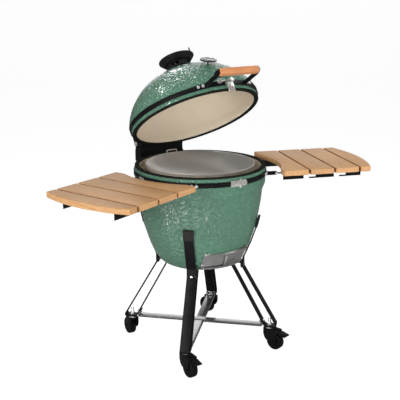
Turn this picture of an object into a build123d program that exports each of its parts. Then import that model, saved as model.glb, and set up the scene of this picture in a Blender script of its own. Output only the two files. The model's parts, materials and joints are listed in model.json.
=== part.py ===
"""Ceramic charcoal grill on a four-legged rolling stand, with two fold-down slatted side shelves.

Millimetres. The origin is on the floor below the axis of the bowl, +Z is up, the front (draft door,
lid handle) faces -Y. Azimuths are degrees from the front towards +X. The lid is drawn shut and then
turned back about its hinge.
"""
from build123d import *
import os
from math import asin, atan2, cos, degrees, hypot, radians, sin, sqrt

# ---------------------------------------------------------------- general fits
FIT = 0.3            # gap between seated curved faces
PLAY = 0.06          # radial clearance of a pin in its hole
SLIDE = 0.8          # gap between sheets that slide past each other

# ---------------------------------------------------------------- ceramic base
RIM_Z = 797.0        # top of the base gasket
COLLAR_R = 268.5     # outside of both ceramic rims, where the steel bands grip
RIM_BORE_R = 250.0   # mouth of the base
GASKET_T = 5.0
COLLAR_H = 68.0      # height of the thick collar under the gasket
SHOULDER_H = 24.0    # the collar runs out into the bowl over this height
BELLY_DROP = 45.0    # the bowl's curve starts this far below the rim
BELLY_R = 260.3
FOOT_R = 147.2       # flat underside of the bowl
FOOT_Z = 385.6
BOWL_WALL = 22.0
BOWL_FLOOR = 24.0
BOWL_DROOP = 1.671   # exponents of the bowl's superellipse
BOWL_FULL = 1.796

# ---------------------------------------------------------------- ceramic lid
DOME_R = 270.8
DOME_START_H = 40.0  # heights of the lid are above the rim, lid shut
DOME_RISE = 169.1
DOME_DROOP = 1.322
DOME_FULL = 2.625
LID_WALL = 20.0
CHIMNEY_R = 44.0
CHIMNEY_OUT_R = 56.0  # raised ceramic collar round the chimney
CHIMNEY_H = 222.0
LID_GAP = 0.4        # between the two gaskets, lid shut

# ---------------------------------------------------------------- inside the base
BOX_GAP = 8.0        # air gap between bowl and fire box
BOX_WALL = 18.0
BOX_TOP_Z = 640.0
BOX_FLOOR = 14.0
LEDGE_Z = 500.0      # the charcoal grate lies on this ledge
LEDGE_W = 16.0
RING_WALL = 20.0
COAL_GRATE_T = 8.0
COAL_SLOT_W = 12.0
COAL_SLOT_PITCH = 26.0
GRATE_R = 227.0
GRATE_T = 5.0
GRATE_RISE = 6.0     # top of the cooking grate above the rim
GRATE_RIM_W = 8.0
GRATE_BAR_W = 4.0
GRATE_BAR_PITCH = 14.0
LOOP_W = 55.0        # lifting loop at the back of the cooking grate
LOOP_H = 14.5
LOOP_D = 5.0

# ---------------------------------------------------------------- draft vent at the foot of the bowl
VENT_Z0 = 403.0
VENT_Z1 = 477.0
VENT_R0 = 180.5      # face of the ceramic seat at its lower and its upper edge
VENT_R1 = 217.0
VENT_X = 105.0       # half width of the frame
RAIL_X = 95.0        # half width of its two tracks
VENT_SPREAD = 45.0   # the seat and the frame are turned this far, then cut off square
VENT_SHEET = 1.5
VENT_LIP = 9.0       # lip of a track over the sheets
WINDOW_LOW = 23.0    # window from the lower and from the upper edge of the frame
WINDOW_HIGH = 10.0
WINDOW_START = -2.0
WINDOW_SWEEP = 22.0
DOOR_START = -5.0
DOOR_SWEEP = 29.0
SCREEN_COLUMNS = 9
SCREEN_ROWS = 4
SCREEN_HOLE = 5.0
SCREEN_PITCH = 9.0
VENT_SCREW_R = 2.5
VENT_SCREW_L = 9.0
VENT_SCREW_X = 100.0
VENT_SCREW_S = (21.0, 78.0)  # corner screws, up the slant

# ---------------------------------------------------------------- steel bands
BAND_T = 4.0
LOW_BAND_DROP = 37.5 # underside of the lower band below the rim
LOW_BAND_H = 19.5
UP_BAND_H0 = 18.0    # underside of the upper band above the rim
UP_BAND_H = 18.0
BAND_SLOT = 2.4      # angle left open between the ends of a band
FOOT_T = 3.5         # plates bolted to a band
BOLT_R = 3.5
BOLT_HEAD_R = 6.0
BOLT_HEAD_H = 4.5
FOOT_BOLTS = (0.38, 0.75)  # share of a foot's length at which its two bolts sit

# ---------------------------------------------------------------- clamps and catch at the front
EAR_AZ = -2.5        # azimuth of the upper clamp's middle
EAR_START = 3.6
EAR_SWEEP = 2.8
EAR_D = 13.0
EAR_H = 15.0
CLAMP_BOLT_R = 3.0
CLAMP_BOLT_L = 76.0
CLAMP_NUT_R = 6.0
CLAMP_NUT_H = 4.2
BUCKLE_START = -8.8
BUCKLE_SWEEP = 14.7
BUCKLE_H = 24.0
BUCKLE_T = 2.5
LATCH_POST_W = 7.0
LATCH_POST_H = 36.0
LATCH_POST_T = 5.0
CATCH_SWEEP = 6.0
CATCH_T = 3.0
CATCH_REACH = 38.0

# ---------------------------------------------------------------- lid handle
BAR_L = 180.0
BAR_S = 26.0
BAR_ROUND = 6.0
BAR_Y = -358.0
BAR_H = 31.5
ARM_T = 5.0
ARM_X = (BAR_L + ARM_T) / 2 + PLAY  # middle of a handle arm, flat on the end of the bar
ARM_H = 16.0
ARM_FOOT_START = 17.6
ARM_FOOT_SWEEP = 12.0
PAD_W = 23.0         # plate on the back of the wooden bar
PAD_SCREW_IN = 16.0  # screw from the outer edge of that plate
PAD_SCREW_DZ = 5.4
ARM_BOLT_AZ = (22.0, 25.8)

# ---------------------------------------------------------------- lid hinge
HINGE_Y = 322.0
HINGE_H = 38.5       # above the rim
LID_OPEN = 32.5      # the lid stands open by this angle
HINGE_SHAFT_R = 6.0
HINGE_NUT_R = 10.2
HOUSING_X = 109.0    # outer face of the housing's cheeks
CHEEK_T = 4.0
CHEEK_EYE_R = 16.0
PANEL_Y = 300.0      # front panel, between the bowl and the springs
PANEL_TOP_H = 41.0   # heights of the housing are above the rim
HOUSING_BACK_Y = 346.0
HOUSING_LOW_H = -40.0
HOUSING_BACK_TOP_H = 3.0
CHEEK_GAP = 2.0
BRIDGE_Y = 333.0     # cross plate of the lid's bracket
BRIDGE_H0 = 60.0
BRIDGE_H1 = 86.0
SPRING_R = 13.0
SPRING_X0 = 32.0
SPRING_L = 70.0
HINGE_FOOT_SWEEP = 11.0

# ---------------------------------------------------------------- thermometer
THERMO_R = 197.0     # radius at which the stem passes the dome
THERMO_CASE_R = 33.0
THERMO_STAND = 9.0
THERMO_CASE_H = 6.0
THERMO_FLOOR = 2.0
THERMO_SEAT = 3.0    # underside of the stem's hexagon above the dome
THERMO_HEX_R = 9.0
THERMO_BEZEL = 4.0
THERMO_STEM_R = 3.0
THERMO_STEM_L = 70.0
GLASS_T = 1.3
NEEDLE_L = 23.0
NEEDLE_T = 0.8
NEEDLE_TURN = 120.0

# ---------------------------------------------------------------- top vent
FLANGE_R = 61.0
FLANGE_T = 7.0
SPIGOT_T = 5.0
SPIGOT_L = 34.0
NECK_R = 47.0
NECK_T = 6.0
NECK_TOP_H = 250.0
NECK_WINDOW_W = 32.0
NECK_WINDOW_H = 14.0
NECK_WINDOW_AZ = (-45.0, 45.0)
PIVOT_AT = 51.0      # the cap swings about this pin at the back of the neck
VENT_PIN_R = 4.0
VENT_PIN_L = 9.0
HAT_FOOT_R = 58.0
HAT_R = 75.0
HAT_BRIM_H = 268.0
HAT_TOP_H = 273.0
HAT_PLATE_H = 260.0
HAT_PLATE_T = 6.0
HAT_RIM_W = 5.0
PORT_R0 = 13.0
PORT_R1 = 34.0
PORT_SWEEP = 40.0
PORT_CUT = 20.0      # the ports are cut this far above and below the cap's plate
PORTS = 4
DAMPER_R = 42.0
DAMPER_T = 3.2
LEVER_AZ = 50.0
LEVER_R = 64.0
LEVER_W = 9.0
LEVER_T = 5.0
LEVER_H = 34.0

# ---------------------------------------------------------------- side shelves
SHELF_TURN = 20.0    # each shelf is turned this far forward of the X axis
SHELF_DROP = 7.5     # top of the slats below the rim
SLAT_T = 21.0
SLAT_W = 100.8
SLAT_GAP = 8.0
SLATS = 4
SHELF_U0 = 297.0     # inner tips of the shelf, from the bowl's axis
SHELF_U1 = 704.0
SHELF_HALF = 196.0
SHELF_ARC_R = 333.0  # hollow that follows the bowl
SHELF_OUTER_R = 580.0
SLAT_ROUND = 5.0
RAIL_V = 117.0       # distance of each arm from the shelf's middle line
RAIL_T = 3.0
RAIL_H = 33.0
RAIL_FLANGE = 18.0
RAIL_U0 = 319.0      # the deep part of an arm starts here, a shallow neck leads in to the pivot
RAIL_U1 = 662.0
RAIL_NECK = 6.0
PIVOT_U = 287.0
PIVOT_DROP = 31.0    # pivot below the rim
KNUCKLE_R = 8.0
SHELF_ARM_T = 5.0
SHELF_PIN_R = 4.0
SHELF_FOOT_SWEEP = 10.0
SHELF_FOOT_BACK = 1.0
HOOK_U = (408.0, 542.0)
HOOK_MOUTH = 24.0
HOOK_DEEP = 53.0
HOOK_TALL = 20.0
HOOK_LIP = 6.0

# ---------------------------------------------------------------- stand
LEG_W = 39.5
LEG_T = 6.0
LEG_BEND = 8.0
LEG_AZ = (("front_left", -45.0), ("front_right", 45.0), ("rear_right", 135.0), ("rear_left", 225.0))
PAD_TOP_Z = 579.0
PAD_LOW_Z = 541.0
PAD_STAND = 6.0      # middle of the leg from the bowl, along the pad
PAD_T = 2.2          # rubber in front of the leg and behind it
PAD_SIDE = 1.0       # rubber at the leg's sides
LEG_HUG_Z = 477.0
LEG_HUG_GAP = 4.2
LEG_WAIST_GAP = 13.5  # middle of the leg from the bowl at its waist
LEG_WAIST_Z = 400.0
LEG_KNEE_Z = 362.0
LEG_TOE_R = 337.0
LEG_HEEL_R = 284.0
LEG_SOLE_Z = 98.0
LEG_INNER_R = 131.0
WAIST_HEAD_R = 4.6
LEG_BOLT_RISE = 7.5  # waist bolt above the knee
BRACE_T = 6.0
BRACE_Z = 101.0
BRACE_TAB = 25.0
BRACE_BOLT = 16.5    # bolt from the bend, up the tab

# ---------------------------------------------------------------- casters
CASTER_R = 303.0     # distance of each caster stem from the bowl's axis
WHEEL_R = 37.0
WHEEL_W = 30.0
WHEEL_ROUND = 6.0
DISH_R = 25.0        # shallow dish in both faces of a wheel
DISH_DEPTH = 3.0
TRAIL = 32.0
RACE_R = 19.0
RACE_H = 4.5
STEM_R = 6.0
STEM_TOP_Z = 133.0
NUT_R = 11.0
NUT_H = 12.0
FORK_TOP = 8.0
FORK_PLATE = 3.0
FORK_HALF = 19.5
FORK_EYE_R = 12.0
FORK_NOSE = ((-19.0, 66.0), (-14.0, 50.0), (-4.0, 38.0))  # leading edge, (from the stem, height)
AXLE_R = 5.0
PEDAL_X = 46.0
PEDAL_Z = 83.0
PEDAL_EYE_R = 5.5
PEDAL_PIN_R = 2.5
PEDAL_TIP_X = 90.0
PEDAL_TIP_Z = 75.0
PEDAL_W = 36.0
PEDAL_T = 5.0
TRAIL_AZ = {"front_left": -1.0, "front_right": 14.0, "rear_right": 190.0, "rear_left": 175.0}
BRAKED = ("front_left", "front_right")

# ---------------------------------------------------------------- worked out from the sizes above
BELLY_Z = RIM_Z - BELLY_DROP
LID_BASE_Z = RIM_Z + LID_GAP + GASKET_T
BASE_TOP_Z = RIM_Z - GASKET_T
LOW_BAND_Z = RIM_Z - LOW_BAND_DROP
BAND_R0 = COLLAR_R + FIT
BAND_R1 = BAND_R0 + BAND_T
PLATE_R0 = BAND_R1 + FIT
PLATE_R1 = PLATE_R0 + FOOT_T
HINGE_Z = RIM_Z + HINGE_H
PANEL_TOP_Z = RIM_Z + PANEL_TOP_H
HOUSING_LOW_Z = RIM_Z + HOUSING_LOW_H
HOUSING_BACK_TOP_Z = RIM_Z + HOUSING_BACK_TOP_H
GRATE_Z = RIM_Z + GRATE_RISE - GRATE_T
SHELF_TOP_Z = RIM_Z - SHELF_DROP
PIVOT_Z = RIM_Z - PIVOT_DROP
SLAT_PITCH = SLAT_W + SLAT_GAP
SLAT_LOW_Z = SHELF_TOP_Z - SLAT_T
SOLE_LOW_Z = LEG_SOLE_Z - LEG_T / 2
FORK_TOP_Z = SOLE_LOW_Z - RACE_H - FIT
VENT_SLANT = hypot(VENT_R1 - VENT_R0, VENT_Z1 - VENT_Z0)
VENT_LEAN = degrees(atan2(VENT_R1 - VENT_R0, VENT_Z1 - VENT_Z0))
SCREEN_N0 = VENT_SHEET + FIT + SLIDE
DOOR_N0 = SCREEN_N0 + VENT_SHEET + SLIDE
LIP_N0 = DOOR_N0 + VENT_SHEET + SLIDE


# ---------------------------------------------------------------- shared construction
def superellipse(r_end, r_start, z_start, z_end, droop, full, first=0.0, last=90.0, steps=9):
    """Points (radius, height) of a superellipse quarter, by an even angle."""
    points = []
    for k in range(steps + 1):
        a = radians(first + (last - first) * k / steps)
        along = sin(a) ** (2 / droop)
        across = max(cos(a), 0.0) ** (2 / full)
        points.append((r_end + (r_start - r_end) * across, z_start + (z_end - z_start) * along))
    return points


def bowl_radius(z):
    """Outer radius of the bowl at a height below its collar."""
    v = (BELLY_Z - z) / (BELLY_Z - FOOT_Z)
    return FOOT_R + (BELLY_R - FOOT_R) * (1 - v ** BOWL_DROOP) ** (1 / BOWL_FULL)


def dome_height(r, radius=DOME_R, rise=DOME_RISE):
    """Height of a dome's surface above the rim at a radius."""
    return DOME_START_H + rise * (1 - (r / radius) ** DOME_FULL) ** (1 / DOME_DROOP)


def angle_at_height(z):
    """Angle of the bowl's superellipse at a height."""
    return degrees(asin(((BELLY_Z - z) / (BELLY_Z - FOOT_Z)) ** (BOWL_DROOP / 2)))


def angle_at_radius(r, radius):
    """Angle of a dome's superellipse at a radius."""
    return degrees(asin(sqrt(1 - (r / radius) ** DOME_FULL)))


def spun(face, start=-180.0, sweep=360.0):
    """Turn a face drawn as (radius, height) about the vertical axis, from one azimuth on."""
    solid = revolve(Plane.XZ * face, axis=Axis.Z, revolution_arc=sweep)
    return Rot(0, 0, start - 90) * solid


def outline(points):
    """Closed straight-sided face."""
    return make_face(Polyline(*points, close=True))


def ring(r0, r1, z0, z1, start=-180.0, sweep=360.0):
    """Rectangular ring or arc about the vertical axis."""
    return spun(outline([(r0, z0), (r1, z0), (r1, z1), (r0, z1)]), start, sweep)


def rod(r, length):
    """Cylinder that starts at its plane and runs along +Z."""
    return Cylinder(r, length, align=(Align.CENTER, Align.CENTER, Align.MIN))


def hexagon(r, length):
    """Hexagonal prism that starts at its plane and runs along +Z."""
    return extrude(RegularPolygon(r, 6), amount=length)


def radial(azimuth, r, z):
    """Point at an azimuth, a radius and a height."""
    return Vector(r * sin(radians(azimuth)), -r * cos(radians(azimuth)), z)


def wall_plane(azimuth, r, z, lean=0.0):
    """Plane on a wall: its normal points outward, its X runs towards rising azimuth, Y up."""
    a = radians(azimuth)
    out = Vector(sin(a) * cos(radians(lean)), -cos(a) * cos(radians(lean)), -sin(radians(lean)))
    return Plane(origin=radial(azimuth, r, z), x_dir=(cos(a), sin(a), 0), z_dir=out)


def side_plate(points, x0, x1, hole=None):
    """Plate in the Y-Z plane between two X positions, drawn as (y, z) points."""
    plate = extrude(Plane.YZ.offset(x0) * outline(points), amount=x1 - x0)
    if hole:
        y, z, r = hole
        plate -= Pos(x0 - 1, y, z) * Rot(0, 90, 0) * rod(r, x1 - x0 + 2)
    return plate


def band_bolt(azimuth, z, seat=PLATE_R1):
    """Round-headed bolt through a plate and the band behind it."""
    shank = seat - COLLAR_R - FIT
    bolt = Pos(0, 0, -shank) * rod(BOLT_R, shank) + rod(BOLT_HEAD_R, BOLT_HEAD_H)
    return wall_plane(azimuth, seat, z) * bolt


def band_hole(azimuth, z):
    """Clearance hole for a band bolt."""
    return wall_plane(azimuth, COLLAR_R, z) * rod(BOLT_R + PLAY, PLATE_R1 - COLLAR_R + 1)


def drilled(shape, holes):
    """Cut a band bolt's hole at each (azimuth, height)."""
    for azimuth, z in holes:
        shape -= band_hole(azimuth, z)
    return shape


def open_lid(shape):
    """Turn a piece of the shut lid back about the hinge."""
    return Pos(0, HINGE_Y, HINGE_Z) * Rot(-LID_OPEN, 0, 0) * Pos(0, -HINGE_Y, -HINGE_Z) * shape


def group(solids):
    """Several separate solids in one node."""
    return Compound(children=[s for shape in solids for s in shape.solids()])


# ---------------------------------------------------------------- where the bolts sit
def hinge_foot_az():
    """Azimuths of the four hinge feet bolts, on both sides of the back."""
    first = degrees(asin(HOUSING_X / PLATE_R0))
    return [180 + side * (first + HINGE_FOOT_SWEEP * k) for side in (-1, 1) for k in FOOT_BOLTS]


def shelf_arm_az(v):
    """Azimuth at which a right-hand shelf arm leaves the band."""
    return 90 - SHELF_TURN + degrees(asin(v / PLATE_R0))


def shelf_bolt_az():
    """Azimuths of the eight bolts that hold the shelf arms' feet."""
    found = []
    for v in (-RAIL_V, RAIL_V):
        for k in FOOT_BOLTS:
            azimuth = shelf_arm_az(v) - SHELF_FOOT_SWEEP * k
            found += [azimuth, -azimuth]
    return found


LOW_BAND_MID = LOW_BAND_Z + LOW_BAND_H / 2
UP_BAND_MID = RIM_Z + UP_BAND_H0 + UP_BAND_H / 2
LOW_BOLTS = [(a, LOW_BAND_MID) for a in shelf_bolt_az() + hinge_foot_az()]
UP_BOLTS = [(s * a, UP_BAND_MID) for a in ARM_BOLT_AZ for s in (-1, 1)]
UP_BOLTS += [(a, UP_BAND_MID) for a in hinge_foot_az()]


# ---------------------------------------------------------------- base: ceramic, gasket, inside
def vent_profile(s0, s1, n0, n1):
    """Face on the slanted vent seat: s runs up the slant, n stands off the ceramic."""
    t = Vector(VENT_R1 - VENT_R0, VENT_Z1 - VENT_Z0) / VENT_SLANT
    n = Vector(t.Y, -t.X)
    corners = [(s0, n0), (s1, n0), (s1, n1), (s0, n1)]
    points = [Vector(VENT_R0, VENT_Z0) + t * s + n * d for s, d in corners]
    return outline([(q.X, q.Y) for q in points])


def vent_window(r0, r1):
    """Wedge that opens a wall behind the draft door."""
    return ring(r0, r1, VENT_Z0 + WINDOW_LOW, VENT_Z1 - WINDOW_HIGH, WINDOW_START, WINDOW_SWEEP)


def squared(face, half_width):
    """Turn a face about the bowl's axis at the front and cut the ends off square to X."""
    return spun(face, -VENT_SPREAD, 2 * VENT_SPREAD) & Box(2 * half_width, 4 * BELLY_R, 4 * BELLY_Z)


def vent_screw_planes():
    """Planes of the four corner screws of the vent frame."""
    lean = radians(VENT_LEAN)
    planes = []
    for s in VENT_SCREW_S:
        r = VENT_R0 + s * sin(lean)
        azimuth = degrees(asin(VENT_SCREW_X / r))
        for a in (-azimuth, azimuth):
            planes.append(wall_plane(a, r, VENT_Z0 + s * cos(lean), VENT_LEAN))
    return planes


def base_bowl():
    shoulder_z = BASE_TOP_Z - COLLAR_H - SHOULDER_H
    outer = superellipse(FOOT_R, BELLY_R, BELLY_Z, FOOT_Z, BOWL_DROOP, BOWL_FULL,
                         first=angle_at_height(shoulder_z))
    inner_z = FOOT_Z + BOWL_FLOOR
    inner = superellipse(FOOT_R - BOWL_WALL, BELLY_R - BOWL_WALL, BELLY_Z, FOOT_Z, BOWL_DROOP,
                         BOWL_FULL, last=angle_at_height(inner_z))
    skin = Spline(*outer)
    lining = Spline(*inner)
    lines = [skin, Polyline(outer[-1], (0, FOOT_Z), (0, inner[-1][1]), inner[-1]), lining,
             Polyline(inner[0], (RIM_BORE_R, BELLY_Z + SHOULDER_H / 2), (RIM_BORE_R, BASE_TOP_Z),
                      (COLLAR_R, BASE_TOP_Z), (COLLAR_R, BASE_TOP_Z - COLLAR_H), outer[0])]
    bowl = spun(make_face(lines))
    root = BOWL_WALL / 2
    seat = outline([(bowl_radius(VENT_Z0) - root, VENT_Z0), (VENT_R0, VENT_Z0),
                    (VENT_R1, VENT_Z1), (bowl_radius(VENT_Z1) - root, VENT_Z1)])
    bowl += squared(seat, VENT_X)
    bowl -= vent_window(bowl_radius(VENT_Z0) - 2 * BOWL_WALL, VENT_R1 + BOWL_WALL)
    for plane in vent_screw_planes():
        bowl -= plane * Pos(0, 0, -VENT_SCREW_L) * rod(VENT_SCREW_R + PLAY, VENT_SCREW_L + 1)
    return bowl


def base_gasket():
    return ring(RIM_BORE_R, COLLAR_R, BASE_TOP_Z, RIM_Z)


def box_radius(z):
    """Outer radius of the fire box at a height: it follows the inside of the bowl."""
    return bowl_radius(z) - BOWL_WALL - BOX_GAP


def fire_box():
    low = FOOT_Z + BOWL_FLOOR
    heights = [low + (BOX_TOP_Z - low) * k / 6 for k in range(7)]
    skin = [(box_radius(z), z) for z in heights]
    ledge_r = box_radius(LEDGE_Z) - BOX_WALL - LEDGE_W
    ash_r = min(ledge_r, box_radius(low + BOX_FLOOR) - BOX_WALL)
    inside = [(0, low), (0, low + BOX_FLOOR), (ash_r, low + BOX_FLOOR), (ledge_r, LEDGE_Z),
              (ledge_r + LEDGE_W, LEDGE_Z), (box_radius(BOX_TOP_Z) - BOX_WALL, BOX_TOP_Z)]
    box = spun(outline(skin + inside[::-1]))
    return box - vent_window(ash_r - BOX_WALL, VENT_R1)


def fire_ring():
    outer = box_radius(BOX_TOP_Z)
    return ring(outer - RING_WALL, outer, BOX_TOP_Z, GRATE_Z)


def charcoal_grate():
    r = box_radius(LEDGE_Z) - BOX_WALL - 2 * FIT
    slots = int((r - COAL_SLOT_PITCH) / COAL_SLOT_PITCH)
    plate = Circle(r)
    for k in range(-slots, slots + 1):
        y = k * COAL_SLOT_PITCH
        length = 2 * sqrt(r * r - y * y) - 2 * COAL_SLOT_PITCH
        plate -= Pos(0, y) * SlotOverall(length, COAL_SLOT_W)
    return Pos(0, 0, LEDGE_Z) * extrude(plate, amount=COAL_GRATE_T)


def cooking_grate():
    inner = GRATE_R - GRATE_RIM_W
    count = int(inner / GRATE_BAR_PITCH)
    bars = Circle(GRATE_R) - Circle(inner)
    for k in range(-count, count + 1):
        y = k * GRATE_BAR_PITCH
        bars += Pos(0, y) * Rectangle(2 * sqrt((inner + 2) ** 2 - y * y), GRATE_BAR_W)
    bars += Rectangle(GRATE_BAR_W, 2 * inner + GRATE_RIM_W)
    grate = Pos(0, 0, GRATE_Z) * extrude(bars, amount=GRATE_T)
    loop_y = GRATE_R - GRATE_RIM_W / 2
    top = GRATE_Z + GRATE_T
    y0 = loop_y - LOOP_D
    frame = Box(LOOP_W, LOOP_D, LOOP_H, align=(Align.CENTER, Align.CENTER, Align.MIN))
    frame -= Pos(0, 0, -1) * Box(LOOP_W - 2 * LOOP_D, 2 * LOOP_D, LOOP_H - LOOP_D + 1,
                                 align=(Align.CENTER, Align.CENTER, Align.MIN))
    return grate + Pos(0, y0, top) * frame


# ---------------------------------------------------------------- draft vent
def vent_frame():
    frame = squared(vent_profile(0, VENT_SLANT, FIT, FIT + VENT_SHEET), VENT_X)
    frame -= vent_window(bowl_radius(VENT_Z0), VENT_R1 + BOWL_WALL)
    web = 2 * VENT_SHEET
    lip = VENT_LIP
    for s0, s1, reach in ((VENT_SHEET, web, lip), (VENT_SLANT - web, VENT_SLANT - VENT_SHEET, -lip)):
        rail = squared(vent_profile(s0, s1, VENT_SHEET, LIP_N0 + VENT_SHEET), RAIL_X)
        edge = s0 if reach > 0 else s1
        lip_face = vent_profile(min(edge, edge + reach), max(edge, edge + reach), LIP_N0,
                                LIP_N0 + VENT_SHEET)
        frame += rail + squared(lip_face, RAIL_X)
    for plane in vent_screw_planes():
        frame -= plane * rod(VENT_SCREW_R + PLAY, 2 * VENT_SHEET)
    return frame


def vent_screws():
    seat = FIT + VENT_SHEET
    screw = Pos(0, 0, seat - VENT_SCREW_L) * rod(VENT_SCREW_R, VENT_SCREW_L)
    screw += Pos(0, 0, seat) * rod(2 * VENT_SCREW_R, VENT_SCREW_R)
    return group([plane * screw for plane in vent_screw_planes()])


def sliding_sheet(n0):
    """Curved sheet that fills the tracks of the vent frame."""
    edge = 2 * VENT_SHEET + SLIDE
    return spun(vent_profile(edge, VENT_SLANT - edge, n0, n0 + VENT_SHEET), DOOR_START, DOOR_SWEEP)


def ash_screen():
    sheet = sliding_sheet(SCREEN_N0)
    lean = radians(VENT_LEAN)
    middle = (WINDOW_LOW + VENT_Z1 - VENT_Z0 - WINDOW_HIGH) / (2 * cos(lean))
    for k in range(SCREEN_COLUMNS):
        azimuth = WINDOW_START + WINDOW_SWEEP * (k + 0.5) / SCREEN_COLUMNS
        for j in range(SCREEN_ROWS):
            s = middle + (j - (SCREEN_ROWS - 1) / 2) * SCREEN_PITCH
            plane = wall_plane(azimuth, VENT_R0 + s * sin(lean), VENT_Z0 + s * cos(lean), VENT_LEAN)
            hole = Pos(0, 0, SCREEN_N0 - 1) * rod(SCREEN_HOLE / 2, VENT_SHEET + 2)
            sheet -= plane * hole
    return sheet


def draft_door():
    sheet = sliding_sheet(DOOR_N0)
    margin = VENT_LIP + 2 * VENT_SHEET
    tab = vent_profile(margin, VENT_SLANT - margin, DOOR_N0, LIP_N0 + 4 * VENT_SHEET)
    return sheet + spun(tab, DOOR_START, VENT_SHEET / 4)


# ---------------------------------------------------------------- bands, clamps, catch
def lower_band():
    band = ring(BAND_R0, BAND_R1, LOW_BAND_Z, LOW_BAND_Z + LOW_BAND_H, BAND_SLOT / 2, 360 - BAND_SLOT)
    return drilled(band, LOW_BOLTS)


def lower_band_bolts():
    bolts = [band_bolt(a, z) for a, z in LOW_BOLTS]
    length = SHELF_ARM_T + 2 * RAIL_T + FIT
    pin = Pos(0, 0, -SHELF_ARM_T / 2) * rod(SHELF_PIN_R, length)
    pin += Pos(0, 0, -SHELF_ARM_T / 2 - BOLT_HEAD_H) * rod(BOLT_HEAD_R, BOLT_HEAD_H)
    pin += Pos(0, 0, length - SHELF_ARM_T / 2) * hexagon(BOLT_HEAD_R, BOLT_HEAD_H)
    for side in (-1, 1):
        turned = Rot(-90 * side, 0, 0)
        placed = on_shelf(Pos(PIVOT_U, side * RAIL_V, PIVOT_Z) * turned * pin)
        bolts += [placed, mirror(placed, about=Plane.YZ)]
    return group(bolts)


def lower_clamp():
    middle = LOW_BAND_MID
    r1 = PLATE_R0 + BUCKLE_T
    plate = ring(PLATE_R0, r1, middle - BUCKLE_H / 2, middle + BUCKLE_H / 2, BUCKLE_START, BUCKLE_SWEEP)
    for azimuth in (BUCKLE_START, BUCKLE_START + BUCKLE_SWEEP - EAR_SWEEP / 2):
        plate += ring(r1, r1 + EAR_D / 2, middle - EAR_H / 2, middle + EAR_H / 2, azimuth, EAR_SWEEP / 2)
    post = wall_plane(0, PLATE_R0 + BUCKLE_T / 2, middle) * Box(
        LATCH_POST_W, LATCH_POST_H, LATCH_POST_T, align=(Align.CENTER, Align.CENTER, Align.MIN))
    return plate + post


def upper_band():
    z0 = RIM_Z + UP_BAND_H0
    band = ring(BAND_R0, BAND_R1, z0, z0 + UP_BAND_H, BAND_SLOT / 2, 360 - BAND_SLOT)
    return drilled(band, UP_BOLTS)


def upper_clamp():
    z = RIM_Z + UP_BAND_H0 + EAR_H
    bolt_r = PLATE_R0 + EAR_D / 2
    hole = Pos(0, -bolt_r, z) * Rot(0, 90, 0) * Cylinder(CLAMP_BOLT_R + PLAY, CLAMP_BOLT_L)
    ears = []
    for start in (-EAR_START - EAR_SWEEP, EAR_START):
        ear = ring(PLATE_R0, PLATE_R0 + EAR_D, z - EAR_H / 2, z + EAR_H / 2, start, EAR_SWEEP)
        ears.append(ear - hole)
    bolt = Cylinder(CLAMP_BOLT_R, CLAMP_BOLT_L)
    for end in (-1, 1):
        nut = hexagon(CLAMP_NUT_R, CLAMP_NUT_H)
        at = (PLATE_R0 + EAR_D) * sin(radians(EAR_START + EAR_SWEEP)) + FIT
        bolt += Rot(0 if end > 0 else 180, 0, 0) * Pos(0, 0, at) * nut
    pieces = ears + [Pos(0, -bolt_r, z) * Rot(0, 90, 0) * bolt]
    return group([Rot(0, 0, EAR_AZ) * piece for piece in pieces])


def lid_catch():
    z = RIM_Z + UP_BAND_H0
    r1 = PLATE_R0 + EAR_D
    hook = outline([(PLATE_R0, z), (r1 - CATCH_T, z), (r1 - CATCH_T, z + 2 * CATCH_T - CATCH_REACH),
                    (r1, z + 2 * CATCH_T - CATCH_REACH), (r1, z + 2 * CATCH_T),
                    (PLATE_R0, z + 2 * CATCH_T)])
    return spun(hook, -CATCH_SWEEP / 2, CATCH_SWEEP)


def upper_band_bolts():
    bolts = [band_bolt(a, z) for a, z in UP_BOLTS]
    screw = rod(BOLT_HEAD_R, BOLT_HEAD_H / 2) + Pos(0, 0, -BAR_S / 2) * rod(BOLT_R, BAR_S / 2)
    for side in (-1, 1):
        x = side * (ARM_X + ARM_T / 2 - PAD_SCREW_IN)
        for dz in (-1, 1):
            z = RIM_Z + BAR_H + dz * PAD_SCREW_DZ
            bolts.append(Pos(x, BAR_Y + BAR_S / 2 + FOOT_T, z) * Rot(-90, 0, 0) * screw)
    return group(bolts)


# ---------------------------------------------------------------- lid: ceramic and gasket
def thermometer_plane():
    """Plane across the thermometer's stem, on the dome, its normal pointing out."""
    step = 1.0
    drop = dome_height(THERMO_R - step) - dome_height(THERMO_R + step)
    lean = atan2(drop, 2 * step)
    return Plane(origin=(0, -THERMO_R, RIM_Z + dome_height(THERMO_R)), x_dir=(1, 0, 0),
                 z_dir=(0, -sin(lean), cos(lean)))


def lid_dome():
    start_z = RIM_Z + DOME_START_H
    outer = superellipse(0, DOME_R, start_z, start_z + DOME_RISE, DOME_DROOP, DOME_FULL,
                         last=angle_at_radius(CHIMNEY_R, DOME_R))
    r_in = DOME_R - LID_WALL
    inner = superellipse(0, r_in, start_z, start_z + DOME_RISE - LID_WALL, DOME_DROOP, DOME_FULL,
                         last=angle_at_radius(CHIMNEY_R, r_in))
    lines = [Spline(*outer), Line(outer[-1], inner[-1]), Spline(*inner),
             Polyline(inner[0], (r_in, LID_BASE_Z), (COLLAR_R, LID_BASE_Z),
                      (COLLAR_R, start_z - SLIDE), outer[0])]
    dome = spun(make_face(lines))
    dome += ring(CHIMNEY_R, CHIMNEY_OUT_R, start_z + DOME_RISE - LID_WALL / 2, RIM_Z + CHIMNEY_H)
    stem = Pos(0, 0, -2 * LID_WALL) * rod(THERMO_STEM_R + FIT, 4 * LID_WALL)
    return dome - thermometer_plane() * stem


def lid_gasket():
    return ring(RIM_BORE_R, COLLAR_R, RIM_Z + LID_GAP, LID_BASE_Z)


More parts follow.
